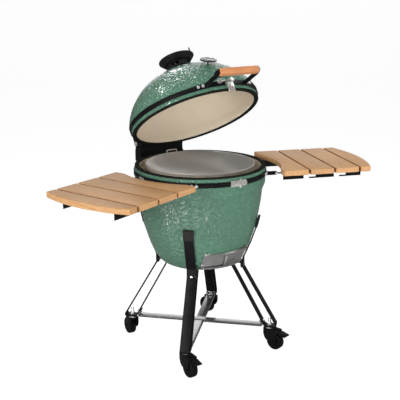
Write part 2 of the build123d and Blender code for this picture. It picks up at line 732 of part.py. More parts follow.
# ---------------------------------------------------------------- lid: handle
def handle_bar():
    bar = fillet(Box(BAR_L, BAR_S, BAR_S).edges(), BAR_ROUND)
    bar = Pos(0, BAR_Y, RIM_Z + BAR_H) * bar
    hole = Pos(0, 0, -BAR_S / 2 - 1) * rod(BOLT_R + PLAY, BAR_S / 2 + 2)
    for side in (-1, 1):
        x = side * (ARM_X + ARM_T / 2 - PAD_SCREW_IN)
        for dz in (-1, 1):
            z = RIM_Z + BAR_H + dz * PAD_SCREW_DZ
            bar -= Pos(x, BAR_Y + BAR_S / 2 + FOOT_T, z) * Rot(-90, 0, 0) * hole
    return bar


def handle_brackets():
    arms = []
    z0 = UP_BAND_MID - ARM_H / 2
    bar_back = BAR_Y + BAR_S / 2
    for side in (-1, 1):
        start = ARM_FOOT_START if side > 0 else -ARM_FOOT_START - ARM_FOOT_SWEEP
        foot = ring(PLATE_R0, PLATE_R1, z0, z0 + ARM_H, start, ARM_FOOT_SWEEP)
        x0 = side * ARM_X - ARM_T / 2
        top = z0 + ARM_H
        bar_top = RIM_Z + BAR_H + BAR_S / 2 - BAR_ROUND / 2
        end_y = BAR_Y - BAR_S / 2 + BAR_ROUND
        end_low = RIM_Z + BAR_H - BAR_S / 2 + BAR_ROUND
        root_y = -PLATE_R0 * cos(radians(ARM_FOOT_START)) + 2 * FOOT_T
        arm = side_plate([(root_y, z0), (root_y, top), (bar_back + ARM_H, top), (bar_back, bar_top),
                          (end_y, bar_top), (end_y, end_low), (bar_back, z0)], x0, x0 + ARM_T)
        arm -= Pos(0, 0, z0) * rod(PLATE_R0, ARM_H)
        pad_x = side * (ARM_X + ARM_T / 2 - PAD_W / 2)
        pad = Pos(pad_x, bar_back + FOOT_T / 2, (z0 + bar_top) / 2) * Box(PAD_W, FOOT_T, bar_top - z0)
        bracket = drilled(foot + arm + pad, [(side * a, UP_BAND_MID) for a in ARM_BOLT_AZ])
        for dz in (-1, 1):
            hole = Pos(side * (ARM_X + ARM_T / 2 - PAD_SCREW_IN), bar_back - 1,
                       RIM_Z + BAR_H + dz * PAD_SCREW_DZ) * Rot(-90, 0, 0) * rod(BOLT_R + PLAY, 2 * FOOT_T)
            bracket -= hole
        arms.append(bracket)
    return group(arms)


# ---------------------------------------------------------------- lid: hinge
def hinge_cheek(points, x0, z_foot, side):
    """Cheek plate of the hinge with its eye and its curved foot on a band."""
    plate = side_plate(points, x0, x0 + CHEEK_T)
    plate += Pos(x0, HINGE_Y, HINGE_Z) * Rot(0, 90, 0) * rod(CHEEK_EYE_R, CHEEK_T)
    plate -= Pos(0, 0, z_foot - CHEEK_EYE_R) * rod(PLATE_R0, 4 * CHEEK_EYE_R)
    first = degrees(asin(HOUSING_X / PLATE_R0)) - 2
    start = 180 + first if side > 0 else 180 - first - HINGE_FOOT_SWEEP
    foot = ring(PLATE_R0, PLATE_R1, z_foot, z_foot + ARM_H, start, HINGE_FOOT_SWEEP)
    return plate + foot


def shaft_hole(x0, length):
    """Hole for the hinge shaft through a cheek."""
    return Pos(x0, HINGE_Y, HINGE_Z) * Rot(0, 90, 0) * rod(HINGE_SHAFT_R + PLAY, length)


def hinge_housing():
    back = HOUSING_BACK_Y
    low = HOUSING_LOW_Z
    foot_z = LOW_BAND_MID - ARM_H / 2
    root_y = sqrt(PLATE_R0 ** 2 - HOUSING_X ** 2) - CHEEK_T
    points = [(root_y, low), (back, low), (back, HOUSING_BACK_TOP_Z), (HINGE_Y + CHEEK_EYE_R, HINGE_Z),
              (PANEL_Y, PANEL_TOP_Z), (PANEL_Y, RIM_Z), (PANEL_Y - ARM_H, foot_z + ARM_H),
              (root_y, foot_z + ARM_H)]
    width = 2 * HOUSING_X
    panel = Pos(0, PANEL_Y + CHEEK_T / 2, (low + PANEL_TOP_Z) / 2) * Box(width, CHEEK_T, PANEL_TOP_Z - low)
    rear = Pos(0, back - CHEEK_T / 2, (low + HOUSING_BACK_TOP_Z) / 2) * Box(
        width, CHEEK_T, HOUSING_BACK_TOP_Z - low)
    housing = panel + rear
    for side, x0 in ((1, -HOUSING_X), (-1, HOUSING_X - CHEEK_T)):
        housing += hinge_cheek(points, x0, foot_z, side)
    housing -= shaft_hole(-HOUSING_X - 1, width + 2)
    return drilled(housing, [(a, LOW_BAND_MID) for a in hinge_foot_az()])


def hinge_shaft():
    half = HOUSING_X + CHEEK_GAP + CHEEK_T + FIT
    shaft = Cylinder(HINGE_SHAFT_R, 2 * half)
    for turn in (0, 180):
        shaft += Rot(turn, 0, 0) * Pos(0, 0, half) * hexagon(HINGE_NUT_R, HINGE_SHAFT_R)
    return Pos(0, HINGE_Y, HINGE_Z) * Rot(0, 90, 0) * shaft


def hinge_springs():
    coil = rod(SPRING_R, SPRING_L) - rod(HINGE_SHAFT_R + 2 * FIT, SPRING_L)
    at = [Pos(x, HINGE_Y, HINGE_Z) * Rot(0, 90, 0) * coil for x in (SPRING_X0, -SPRING_X0 - SPRING_L)]
    return group(at)


def lid_hinge_bracket():
    foot_z = UP_BAND_MID - ARM_H / 2
    top = RIM_Z + BRIDGE_H1
    root_y = sqrt(PLATE_R0 ** 2 - HOUSING_X ** 2) - 2 * CHEEK_T
    rear = BRIDGE_Y + CHEEK_T
    points = [(root_y, foot_z), (HINGE_Y - CHEEK_EYE_R, foot_z), (HINGE_Y - CHEEK_EYE_R, HINGE_Z),
              (HINGE_Y + CHEEK_EYE_R, HINGE_Z), (rear, top), (HINGE_Y - CHEEK_EYE_R, top),
              (root_y, foot_z + ARM_H)]
    inner = HOUSING_X + CHEEK_GAP
    z_mid = RIM_Z + (BRIDGE_H0 + BRIDGE_H1) / 2
    bracket = Pos(0, BRIDGE_Y + CHEEK_T / 2, z_mid) * Box(2 * inner, CHEEK_T, BRIDGE_H1 - BRIDGE_H0)
    for side, x0 in ((1, -inner - CHEEK_T), (-1, inner)):
        bracket += hinge_cheek(points, x0, foot_z, side)
    bracket -= shaft_hole(-inner - CHEEK_T - 1, 2 * (inner + CHEEK_T + 1))
    return drilled(bracket, [(a, UP_BAND_MID) for a in hinge_foot_az()])


# ---------------------------------------------------------------- thermometer
def thermometer_case():
    case = Pos(0, 0, THERMO_STAND) * rod(THERMO_CASE_R, THERMO_CASE_H)
    case -= Pos(0, 0, THERMO_STAND + THERMO_FLOOR) * rod(THERMO_CASE_R - THERMO_BEZEL, THERMO_CASE_H)
    case += Pos(0, 0, THERMO_SEAT) * hexagon(THERMO_HEX_R, THERMO_STAND + THERMO_FLOOR / 2 - THERMO_SEAT)
    case += Pos(0, 0, -THERMO_STEM_L) * rod(THERMO_STEM_R, THERMO_STEM_L + THERMO_STAND)
    return thermometer_plane() * case


def thermometer_glass():
    r = THERMO_CASE_R - THERMO_BEZEL - PLAY
    lens = Pos(0, 0, THERMO_STAND + THERMO_CASE_H - GLASS_T - 0.5) * rod(r, GLASS_T)
    return thermometer_plane() * lens


def thermometer_needle():
    z = THERMO_STAND + THERMO_FLOOR + FIT
    hub = rod(THERMO_STEM_R, 2 * NEEDLE_T)
    pointer = Pos(0, NEEDLE_L / 2 - THERMO_STEM_R, NEEDLE_T * 1.5) * Box(2 * NEEDLE_T, NEEDLE_L, NEEDLE_T)
    return thermometer_plane() * Pos(0, 0, z) * Rot(0, 0, NEEDLE_TURN) * (hub + pointer)


# ---------------------------------------------------------------- top vent
def vent_base():
    flange_z = RIM_Z + CHIMNEY_H + FIT
    top = RIM_Z + NECK_TOP_H
    r_in = NECK_R - NECK_T
    spigot_r = CHIMNEY_R - FIT
    low = flange_z - SPIGOT_L
    profile = outline([(spigot_r - SPIGOT_T, low), (spigot_r, low), (spigot_r, flange_z),
                       (FLANGE_R, flange_z), (FLANGE_R, flange_z + FLANGE_T / 2),
                       (NECK_R, flange_z + FLANGE_T), (NECK_R, top), (r_in, top),
                       (r_in, flange_z), (spigot_r - SPIGOT_T, flange_z)])
    base = spun(profile)
    boss = Pos(0, PIVOT_AT, flange_z + FLANGE_T / 2) * rod(2 * VENT_PIN_R, top - flange_z - FLANGE_T / 2)
    base += boss - Pos(0, 0, flange_z) * rod(NECK_R - NECK_T / 2, NECK_TOP_H - CHIMNEY_H)
    base += Pos(0, PIVOT_AT, top) * rod(VENT_PIN_R, VENT_PIN_L)
    z_mid = (flange_z + FLANGE_T + top) / 2
    for azimuth in NECK_WINDOW_AZ:
        slot = wall_plane(azimuth, NECK_R, z_mid) * Box(NECK_WINDOW_W, NECK_WINDOW_H, 3 * NECK_T)
        base -= slot
    return base


def ports():
    """Cutters of the air ports around the centre of the cap."""
    plate = RIM_Z + HAT_PLATE_H
    cutters = []
    for k in range(PORTS):
        start = k * 360 / PORTS - PORT_SWEEP / 2
        cutters.append(ring(PORT_R0, PORT_R1, plate - PORT_CUT, plate + PORT_CUT, start, PORT_SWEEP))
    return cutters


def vent_cap():
    foot = RIM_Z + NECK_TOP_H + FIT
    brim = RIM_Z + HAT_BRIM_H
    top = RIM_Z + HAT_TOP_H
    plate = RIM_Z + HAT_PLATE_H
    bore = NECK_R - NECK_T
    floor = plate + HAT_PLATE_T
    profile = outline([(0, plate), (bore, plate), (bore, foot), (HAT_FOOT_R, foot), (HAT_R, brim),
                       (HAT_R, top), (HAT_R - HAT_RIM_W, top), (HAT_R - HAT_RIM_W, floor), (0, floor)])
    cap = spun(profile)
    for port in ports():
        cap -= port
    cap -= Pos(0, PIVOT_AT, foot - 1) * rod(VENT_PIN_R + PLAY, VENT_PIN_L + 2)
    return cap + Pos(0, 0, floor) * rod(VENT_PIN_R, DAMPER_T + 2)


def damper_disc():
    low = RIM_Z + HAT_PLATE_H + HAT_PLATE_T + FIT
    disc = Pos(0, 0, low) * rod(DAMPER_R, DAMPER_T)
    for port in ports():
        disc -= port
    arm = Pos(0, -(DAMPER_R + LEVER_R) / 2, low + DAMPER_T / 2) * Box(
        LEVER_W, LEVER_R - DAMPER_R + LEVER_T, DAMPER_T)
    tab = Pos(0, -LEVER_R, low + LEVER_H / 2) * Box(LEVER_W, LEVER_T, LEVER_H)
    disc += Rot(0, 0, LEVER_AZ) * (arm + tab)
    return disc - Pos(0, 0, low - 1) * rod(VENT_PIN_R + PLAY, LEVER_H)


# ---------------------------------------------------------------- side shelves
def on_shelf(shape):
    """Put a piece drawn along +X into the right-hand shelf's direction."""
    return Rot(0, 0, -SHELF_TURN) * shape


def shelf_slat(number):
    first = SHELF_U0 if number == 0 else slat_gap_middle(number) + SLAT_GAP / 2
    last = SHELF_U1 if number == SLATS - 1 else slat_gap_middle(number + 1) - SLAT_GAP / 2
    board = Pos((first + last) / 2, 0) * RectangleRounded(last - first, 2 * SHELF_HALF, SLAT_ROUND)
    if number == 0:
        board -= Circle(SHELF_ARC_R)
    if number == SLATS - 1:
        board &= Pos(SHELF_U1 - SHELF_OUTER_R, 0) * Circle(SHELF_OUTER_R)
    return on_shelf(Pos(0, 0, SLAT_LOW_Z) * extrude(board, amount=SLAT_T))


def slat_gap_middle(number):
    """Distance from the bowl's axis to the middle of the gap before a slat."""
    return SHELF_U0 + SLAT_PITCH * number


def shelf_brackets():
    rails = []
    z0 = SLAT_LOW_Z - RAIL_H
    for side in (-1, 1):
        neck_z = SLAT_LOW_Z - RAIL_NECK
        web = outline([(PIVOT_U, neck_z), (RAIL_U0, neck_z), (RAIL_U0, z0), (RAIL_U1, z0),
                       (RAIL_U1, SLAT_LOW_Z), (PIVOT_U, SLAT_LOW_Z)])
        web += Pos(PIVOT_U, PIVOT_Z) * Circle(KNUCKLE_R)
        web -= Pos(PIVOT_U, PIVOT_Z) * Circle(SHELF_PIN_R + PLAY)
        for u in HOOK_U:
            mouth = Pos(u + HOOK_MOUTH / 2, z0 + HOOK_TALL / 2) * Rectangle(HOOK_MOUTH, HOOK_TALL)
            throat_h = HOOK_TALL - HOOK_LIP
            throat = Pos(u + HOOK_DEEP / 2, z0 + HOOK_LIP + throat_h / 2) * Rectangle(HOOK_DEEP, throat_h)
            web -= mouth + throat
        v_face = side * (RAIL_V + SHELF_ARM_T / 2 + FIT)
        plate = extrude(Plane.XZ.offset(-v_face) * web, amount=-side * RAIL_T)
        reach = sqrt(SHELF_ARC_R ** 2 - (RAIL_V - RAIL_FLANGE) ** 2)
        flange = Pos((reach + RAIL_U1) / 2, v_face - side * (RAIL_FLANGE / 2 - RAIL_T),
                     SLAT_LOW_Z - RAIL_T / 2) * Box(RAIL_U1 - reach, RAIL_FLANGE, RAIL_T)
        rails.append(on_shelf(plate + flange))
    return group(rails)


def shelf_arms():
    arms = []
    for v in (-RAIL_V, RAIL_V):
        z0 = PIVOT_Z - KNUCKLE_R
        plate = outline([(0, z0), (PIVOT_U, z0), (PIVOT_U, z0 + 2 * KNUCKLE_R), (0, z0 + 2 * KNUCKLE_R)])
        plate += Pos(PIVOT_U, PIVOT_Z) * Circle(KNUCKLE_R)
        plate -= Pos(PIVOT_U, PIVOT_Z) * Circle(SHELF_PIN_R + PLAY)
        arm = on_shelf(extrude(Plane.XZ.offset(-v) * plate, amount=SHELF_ARM_T / 2, both=True))
        arm -= Pos(0, 0, z0 - 1) * rod(PLATE_R0, 2 * KNUCKLE_R + 2)
        azimuth = shelf_arm_az(v)
        start = azimuth - SHELF_FOOT_SWEEP + SHELF_FOOT_BACK
        foot = ring(PLATE_R0, PLATE_R1, LOW_BAND_MID - ARM_H / 2, LOW_BAND_MID + ARM_H / 2,
                    start, SHELF_FOOT_SWEEP)
        bolts = [(azimuth - SHELF_FOOT_SWEEP * k, LOW_BAND_MID) for k in FOOT_BOLTS]
        arm = drilled(arm + foot, bolts)
        arms += [arm, mirror(arm, about=Plane.YZ)]
    return group(arms)


# ---------------------------------------------------------------- stand
def on_leg(shape, azimuth):
    """Put a piece drawn along +X out to an azimuth."""
    return Rot(0, 0, azimuth - 90) * shape


def strip(points, thickness, width, bend):
    """Bent flat strip, drawn as the (x, z) points of its middle, centred across Y."""
    path = FilletPolyline(*points, radius=bend) if bend else Polyline(*points)
    face = make_face(path.wire().offset_2d(thickness / 2, side=Side.BOTH, closed=True))
    return extrude(Plane.XZ * face, amount=width / 2, both=True)


def pad_line():
    """Upper and lower end of the stretch of a leg that the rubber pad covers."""
    return [(bowl_radius(z) + PAD_STAND, z) for z in (PAD_TOP_Z, PAD_LOW_Z)]


def leg_knee():
    """Upper end of the inner bar, the flat seat under the bowl and its bolted tab."""
    seat_z = FOOT_Z - FIT - LEG_T / 2
    tab_r = LEG_WAIST_R - LEG_T - FIT
    return [(LEG_INNER_R, seat_z), (tab_r, seat_z), (tab_r, LEG_KNEE_Z)]


LEG_WAIST_R = bowl_radius(LEG_WAIST_Z) + LEG_WAIST_GAP
LEG_BOLT_Z = LEG_KNEE_Z + LEG_BOLT_RISE


def leg(azimuth):
    top, low = pad_line()
    bend = (low[0] + (low[0] - top[0]) / 8, low[1] + (low[1] - top[1]) / 8)
    points = [top, bend, (bowl_radius(LEG_HUG_Z) + LEG_HUG_GAP, LEG_HUG_Z), (LEG_WAIST_R, LEG_WAIST_Z),
              (LEG_WAIST_R, LEG_KNEE_Z), (LEG_TOE_R, LEG_SOLE_Z), (LEG_HEEL_R, LEG_SOLE_Z)]
    bar = strip(points + leg_knee(), LEG_T, LEG_W, LEG_BEND)
    bar -= Pos(CASTER_R, 0, SOLE_LOW_Z - 1) * rod(STEM_R + PLAY, LEG_T + 2)
    hole = Pos(LEG_WAIST_R - 3 * LEG_T, 0, LEG_BOLT_Z) * Rot(0, 90, 0) * rod(BOLT_R + PLAY, 5 * LEG_T)
    bar -= hole
    r, z = brace_bolt_point()
    bar -= Pos(r, 0, z) * Rot(0, brace_tab_turn(), 0) * Cylinder(BOLT_R + PLAY, 4 * LEG_T)
    return on_leg(bar, azimuth)


def leg_pads():
    top, low = pad_line()
    skin = strip([top, low], LEG_T + 2 * PAD_T, LEG_W + 2 * PAD_SIDE, 0)
    beyond = (2 * low[0] - top[0], 2 * low[1] - top[1])
    pocket = strip([top, beyond], LEG_T + 2 * PLAY, LEG_W + 2 * PLAY, 0)
    pad = skin - pocket
    return group([on_leg(pad, azimuth) for name, azimuth in LEG_AZ])


def inner_bar_direction():
    """Unit direction up the inner bar of a leg and its inward normal, in (radius, height)."""
    up = Vector(LEG_INNER_R - LEG_HEEL_R, FOOT_Z - FIT - LEG_T / 2 - LEG_SOLE_Z).normalized()
    return up, Vector(-up.Y, up.X)


def brace_tab_turn():
    """Turn about Y that lays a cylinder across the inner bar."""
    up, inward = inner_bar_direction()
    return degrees(atan2(inward.X, inward.Y))


def brace_bend():
    """Point where a brace turns up along the inner bar of a leg."""
    up, inward = inner_bar_direction()
    offset = (LEG_T + BRACE_T) / 2 + FIT
    start = Vector(LEG_HEEL_R, LEG_SOLE_Z) + inward * offset
    return start + up * ((BRACE_Z - start.Y) / up.Y)


def brace_bolt_point():
    """Middle of the bolt that holds a brace to the inner bar."""
    up, inward = inner_bar_direction()
    bend = brace_bend()
    middle = bend + up * BRACE_BOLT - inward * ((LEG_T + BRACE_T) / 4)
    return middle.X, middle.Y


def cross_braces():
    up, inward = inner_bar_direction()
    bend = brace_bend()
    tip = bend + up * BRACE_TAB
    half = [(bend.X, bend.Y), (tip.X, tip.Y)]
    points = [(-r, z) for r, z in half[::-1]] + half
    bar = strip(points, BRACE_T, LEG_W, BRACE_T)
    r, z = brace_bolt_point()
    for turn in (0, 180):
        hole = Pos(r, 0, z) * Rot(0, brace_tab_turn(), 0) * Cylinder(BOLT_R + PLAY, 4 * LEG_T)
        bar -= Rot(0, 0, turn) * hole
    lap = LEG_W + 2 * FIT
    bars = []
    for azimuth, notch_z in ((45.0, BRACE_Z - BRACE_T / 2), (-45.0, BRACE_Z + BRACE_T / 2)):
        notch = Pos(0, 0, notch_z) * Box(lap, 2 * LEG_W, BRACE_T + PLAY)
        bars.append(on_leg(bar - notch, azimuth))
    return group(bars)


def leg_bolts():
    waist_l = 2 * LEG_T + FIT
    waist = rod(BOLT_R, waist_l) + Pos(0, 0, -BOLT_HEAD_H) * hexagon(WAIST_HEAD_R, BOLT_HEAD_H)
    waist += Pos(0, 0, waist_l) * rod(WAIST_HEAD_R, BOLT_HEAD_H)
    waist = Pos(LEG_WAIST_R - 1.5 * LEG_T - FIT, 0, LEG_BOLT_Z) * Rot(0, 90, 0) * waist
    tab_l = (LEG_T + BRACE_T) / 2 + FIT / 2
    tab = Cylinder(BOLT_R, 2 * tab_l)
    tab += Pos(0, 0, tab_l) * rod(BOLT_HEAD_R, BOLT_HEAD_H)
    tab += Rot(180, 0, 0) * Pos(0, 0, tab_l) * rod(BOLT_HEAD_R, BOLT_HEAD_H)
    up, inward = inner_bar_direction()
    bend = brace_bend()
    middle = bend + up * BRACE_BOLT - inward * (LEG_T / 2 + FIT / 2)
    tab = Pos(middle.X, 0, middle.Y) * Rot(0, brace_tab_turn(), 0) * tab
    nut = Pos(CASTER_R, 0, LEG_SOLE_Z + LEG_T / 2) * (hexagon(NUT_R, NUT_H) - rod(STEM_R + PLAY, NUT_H))
    pieces = []
    for name, azimuth in LEG_AZ:
        pieces += [on_leg(piece, azimuth) for piece in (waist, tab, nut)]
    return group(pieces)


# ---------------------------------------------------------------- casters
def on_caster(shape, name):
    """Put a piece drawn about the stem, trailing along +X, onto a leg's caster."""
    azimuth = dict(LEG_AZ)[name]
    stem = radial(azimuth, CASTER_R, 0)
    return Pos(stem.X, stem.Y, 0) * Rot(0, 0, TRAIL_AZ[name] - 90) * shape


def caster_stems():
    low = SOLE_LOW_Z - RACE_H
    stem = Pos(0, 0, low) * rod(RACE_R, RACE_H) + Pos(0, 0, low) * rod(STEM_R, STEM_TOP_Z - low)
    return group([on_caster(stem, name) for name, azimuth in LEG_AZ])


def caster_fork(name):
    top = FORK_TOP_Z
    reach = PEDAL_X + PEDAL_EYE_R if name in BRAKED else TRAIL
    cheek = outline([(-RACE_R, top), *FORK_NOSE, (TRAIL - FORK_EYE_R, WHEEL_R - AXLE_R),
                     (TRAIL, WHEEL_R - FORK_EYE_R), (TRAIL + FORK_EYE_R, WHEEL_R), (reach, top - FORK_TOP),
                     (reach, top)])
    half = FORK_HALF
    body = extrude(Plane.XZ * cheek, amount=half, both=True)
    gap = half - FORK_PLATE
    inside = Pos(0, 0, (top - FORK_TOP) / 2) * Box(2 * (TRAIL + 2 * WHEEL_R), 2 * gap, top - FORK_TOP)
    body -= inside
    if name in BRAKED:
        clear_x = PEDAL_X - PEDAL_EYE_R - 3 * SLIDE
        body -= Pos(clear_x + WHEEL_R, 0, top - FORK_TOP) * Box(2 * WHEEL_R, 2 * gap, 4 * FORK_TOP)
        body += Pos(PEDAL_X, 0, PEDAL_Z) * Rot(90, 0, 0) * Cylinder(PEDAL_PIN_R, 2 * half)
    body -= Pos(TRAIL, 0, WHEEL_R) * Rot(90, 0, 0) * Cylinder(AXLE_R + PLAY, 4 * half)
    axle = Pos(TRAIL, 0, WHEEL_R) * Rot(90, 0, 0) * Cylinder(AXLE_R, 2 * half + AXLE_R)
    return on_caster(group([body, axle]), name)


def caster_wheel(name):
    wheel = fillet(Cylinder(WHEEL_R, WHEEL_W).edges(), WHEEL_ROUND)
    for turn in (0, 180):
        deep = DISH_DEPTH + 1
        dish = Pos(0, 0, WHEEL_W / 2 - DISH_DEPTH) * (rod(DISH_R, deep) - rod(2 * AXLE_R, deep))
        wheel -= Rot(turn, 0, 0) * dish
    wheel -= Cylinder(AXLE_R + PLAY, 2 * WHEEL_W)
    return on_caster(Pos(TRAIL, 0, WHEEL_R) * Rot(90, 0, 0) * wheel, name)


def brake_pedal(name):
    gap = FORK_HALF - FORK_PLATE - SLIDE
    edge = PEDAL_X + PEDAL_EYE_R + 2 * SLIDE
    lever = strip([(PEDAL_X, PEDAL_Z), (PEDAL_TIP_X, PEDAL_TIP_Z)], PEDAL_T, 2 * gap, 0)
    blade = strip([(edge + PEDAL_T, PEDAL_Z + (PEDAL_TIP_Z - PEDAL_Z) * (edge + PEDAL_T - PEDAL_X)
                    / (PEDAL_TIP_X - PEDAL_X)), (PEDAL_TIP_X, PEDAL_TIP_Z)], PEDAL_T, PEDAL_W, 0)
    eye = Pos(PEDAL_X, 0, PEDAL_Z) * Rot(90, 0, 0) * Cylinder(PEDAL_EYE_R, 2 * gap)
    hole = Pos(PEDAL_X, 0, PEDAL_Z) * Rot(90, 0, 0) * Cylinder(PEDAL_PIN_R + PLAY, 4 * gap)
    return on_caster(lever + blade + eye - hole, name)


# ---------------------------------------------------------------- all nodes
def nodes():
    """Every sub-part of the grill by its node name."""
    made = {}
    for piece in (base_bowl, base_gasket, fire_box, fire_ring, charcoal_grate, cooking_grate, vent_frame,
                  vent_screws, ash_screen, draft_door, lower_band, lower_band_bolts, lower_clamp,
                  hinge_housing, hinge_shaft, hinge_springs, shelf_arms, leg_pads, leg_bolts,
                  cross_braces, caster_stems):
        made[piece.__name__] = piece()
    for piece in (lid_dome, lid_gasket, upper_band, upper_band_bolts, upper_clamp, lid_catch, handle_bar,
                  handle_brackets, lid_hinge_bracket, thermometer_case, thermometer_glass,
                  thermometer_needle, vent_base, vent_cap, damper_disc):
        made[piece.__name__] = open_lid(piece())
    for number in range(SLATS):
        slat = shelf_slat(number)
        made[f"right_slat_{number + 1}"] = slat
        made[f"left_slat_{number + 1}"] = mirror(slat, about=Plane.YZ)
    rails = shelf_brackets()
    made["right_shelf_brackets"] = rails
    made["left_shelf_brackets"] = mirror(rails, about=Plane.YZ)
    for name, azimuth in LEG_AZ:
        made[f"leg_{name}"] = leg(azimuth)
        made[f"caster_fork_{name}"] = caster_fork(name)
        made[f"caster_wheel_{name}"] = caster_wheel(name)
    for name in BRAKED:
        made[f"brake_pedal_{name}"] = brake_pedal(name)
    return made


os.makedirs("parts", exist_ok=True)
for node, shape in nodes().items():
    export_step(shape, f"parts/{node}.step")
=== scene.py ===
import json
import math

import bmesh
import bpy
from mathutils import Matrix, Vector, noise

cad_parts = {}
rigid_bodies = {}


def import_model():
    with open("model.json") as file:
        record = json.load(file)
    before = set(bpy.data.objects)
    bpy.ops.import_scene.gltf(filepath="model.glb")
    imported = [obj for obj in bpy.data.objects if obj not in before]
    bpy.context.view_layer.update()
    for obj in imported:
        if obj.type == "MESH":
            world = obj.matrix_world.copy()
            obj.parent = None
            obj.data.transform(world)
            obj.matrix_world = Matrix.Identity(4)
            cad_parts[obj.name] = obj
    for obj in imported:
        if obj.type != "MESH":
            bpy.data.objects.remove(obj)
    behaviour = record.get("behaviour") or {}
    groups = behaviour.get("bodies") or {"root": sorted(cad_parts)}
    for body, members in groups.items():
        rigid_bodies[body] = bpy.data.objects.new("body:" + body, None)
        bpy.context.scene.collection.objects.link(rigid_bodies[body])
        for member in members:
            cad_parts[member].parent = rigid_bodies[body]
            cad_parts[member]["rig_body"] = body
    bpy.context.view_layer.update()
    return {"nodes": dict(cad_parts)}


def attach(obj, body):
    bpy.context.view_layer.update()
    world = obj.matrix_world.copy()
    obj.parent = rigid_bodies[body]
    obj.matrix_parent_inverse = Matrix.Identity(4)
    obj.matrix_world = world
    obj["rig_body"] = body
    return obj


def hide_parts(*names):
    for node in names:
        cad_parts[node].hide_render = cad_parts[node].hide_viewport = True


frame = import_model()


# ---------------------------------------------------------------- the studio
# The grill stands on a pale studio floor that runs out of sight, with a bright wall behind it. Soft lamps
# stand round it and overhead, and small bright panels give the glossy skins something to mirror.
CAMERA_AT = (-1.7383, -2.5537, 1.4992)
CAMERA_TURN = (math.radians(74.44), 0.0, math.radians(-34.24))
camera = bpy.data.objects.new("camera", bpy.data.cameras.new("camera"))
camera.data.lens = 69.26
camera.data.sensor_width = 36.0
camera.location = CAMERA_AT
camera.rotation_euler = CAMERA_TURN
bpy.context.scene.collection.objects.link(camera)
bpy.context.scene.camera = camera
bpy.context.scene.view_settings.view_transform = "Standard"


def wire(tree, output, target):
    """Join a node's output to an input."""
    tree.links.new(output, target)


def soft_lamp(name, at, aim, size, watts, mirrored=True, lights=True):
    """A square soft box that faces a point; a fill is not mirrored, a mirror panel lights nothing."""
    lamp = bpy.data.lights.new(name, "AREA")
    lamp.shape = "SQUARE"
    lamp.size = size
    lamp.energy = watts
    holder = bpy.data.objects.new(name, lamp)
    holder.location = at
    holder.rotation_euler = (Vector(aim) - Vector(at)).to_track_quat("-Z", "Y").to_euler()
    holder.visible_camera = False
    holder.visible_glossy = mirrored
    holder.visible_diffuse = lights
    bpy.context.scene.collection.objects.link(holder)


LAMP_AIM = (0.0, 0.0, 0.75)
soft_lamp("lamp_left", (-2.9, -1.1, 1.7), LAMP_AIM, 0.45, 47.0)
soft_lamp("lamp_top", (-0.9, -0.3, 3.3), LAMP_AIM, 0.6, 15.0)
soft_lamp("fill_right", (3.2, -1.4, 1.9), LAMP_AIM, 1.6, 27.0, mirrored=False)
soft_lamp("fill_front", (-2.2, -3.2, 1.1), LAMP_AIM, 2.0, 46.0, mirrored=False)
soft_lamp("mirror_high", (-1.4, 1.75, 3.36), LAMP_AIM, 0.50, 27.0, lights=False)
soft_lamp("mirror_back", (0.6, 2.5, 2.9), LAMP_AIM, 0.55, 19.0, lights=False)
LOW_PANELS = 5
LOW_PANEL_FIRST, LOW_PANEL_STEP = math.radians(22.0), math.radians(18.0)
LOW_PANEL_OUT, LOW_PANEL_Z = 0.95, 0.17
for number in range(LOW_PANELS):
    turn = LOW_PANEL_FIRST + LOW_PANEL_STEP * number
    low_at = (-LOW_PANEL_OUT * math.sin(turn), -LOW_PANEL_OUT * math.cos(turn), LOW_PANEL_Z)
    soft_lamp(f"mirror_low_{number}", low_at, LAMP_AIM, 0.09, 1.3, lights=False)
soft_lamp("mirror_right", (1.15, -1.0, 1.25), LAMP_AIM, 0.4, 3.0, lights=False)
soft_lamp("lamp_right", (0.85, -0.35, 1.75), (0.1, 0.0, 0.8), 0.3, 3.6)
soft_lamp("fill_left", (-2.8, -0.6, 0.4), LAMP_AIM, 1.2, 18.0, mirrored=False)
soft_lamp("fill_low", (0.6, -2.1, 0.12), (0.0, 0.0, 1.1), 1.2, 42.0, mirrored=False)

world = bpy.data.worlds.new("studio")
bpy.context.scene.world = world
world.use_nodes = True
sky = world.node_tree
room = sky.nodes["Background"]
room.inputs["Color"].default_value = (1.0, 1.0, 1.0, 1.0)
wall = sky.nodes.new("ShaderNodeBackground")
wall.inputs["Color"].default_value = (1.0, 1.0, 1.0, 1.0)
wall.inputs["Strength"].default_value = 0.984
where = sky.nodes.new("ShaderNodeTexCoord")
to_back = sky.nodes.new("ShaderNodeVectorMath")
to_back.operation = "DOT_PRODUCT"
to_back.inputs[1].default_value = (0.54, 0.80, 0.27)
wire(sky, where.outputs["Generated"], to_back.inputs[0])
fade = sky.nodes.new("ShaderNodeMapRange")
fade.interpolation_type = "SMOOTHSTEP"
fade.inputs["From Min"].default_value = 0.91
fade.inputs["From Max"].default_value = 0.985
fade.inputs["To Min"].default_value = 0.17
fade.inputs["To Max"].default_value = 1.5
wire(sky, to_back.outputs["Value"], fade.inputs["Value"])
wire(sky, fade.outputs["Result"], room.inputs["Strength"])
rays = sky.nodes.new("ShaderNodeLightPath")
seen = sky.nodes.new("ShaderNodeMixShader")
wire(sky, rays.outputs["Is Camera Ray"], seen.inputs["Fac"])
wire(sky, room.outputs["Background"], seen.inputs[1])
wire(sky, wall.outputs["Background"], seen.inputs[2])
wire(sky, seen.outputs["Shader"], sky.nodes["World Output"].inputs["Surface"])

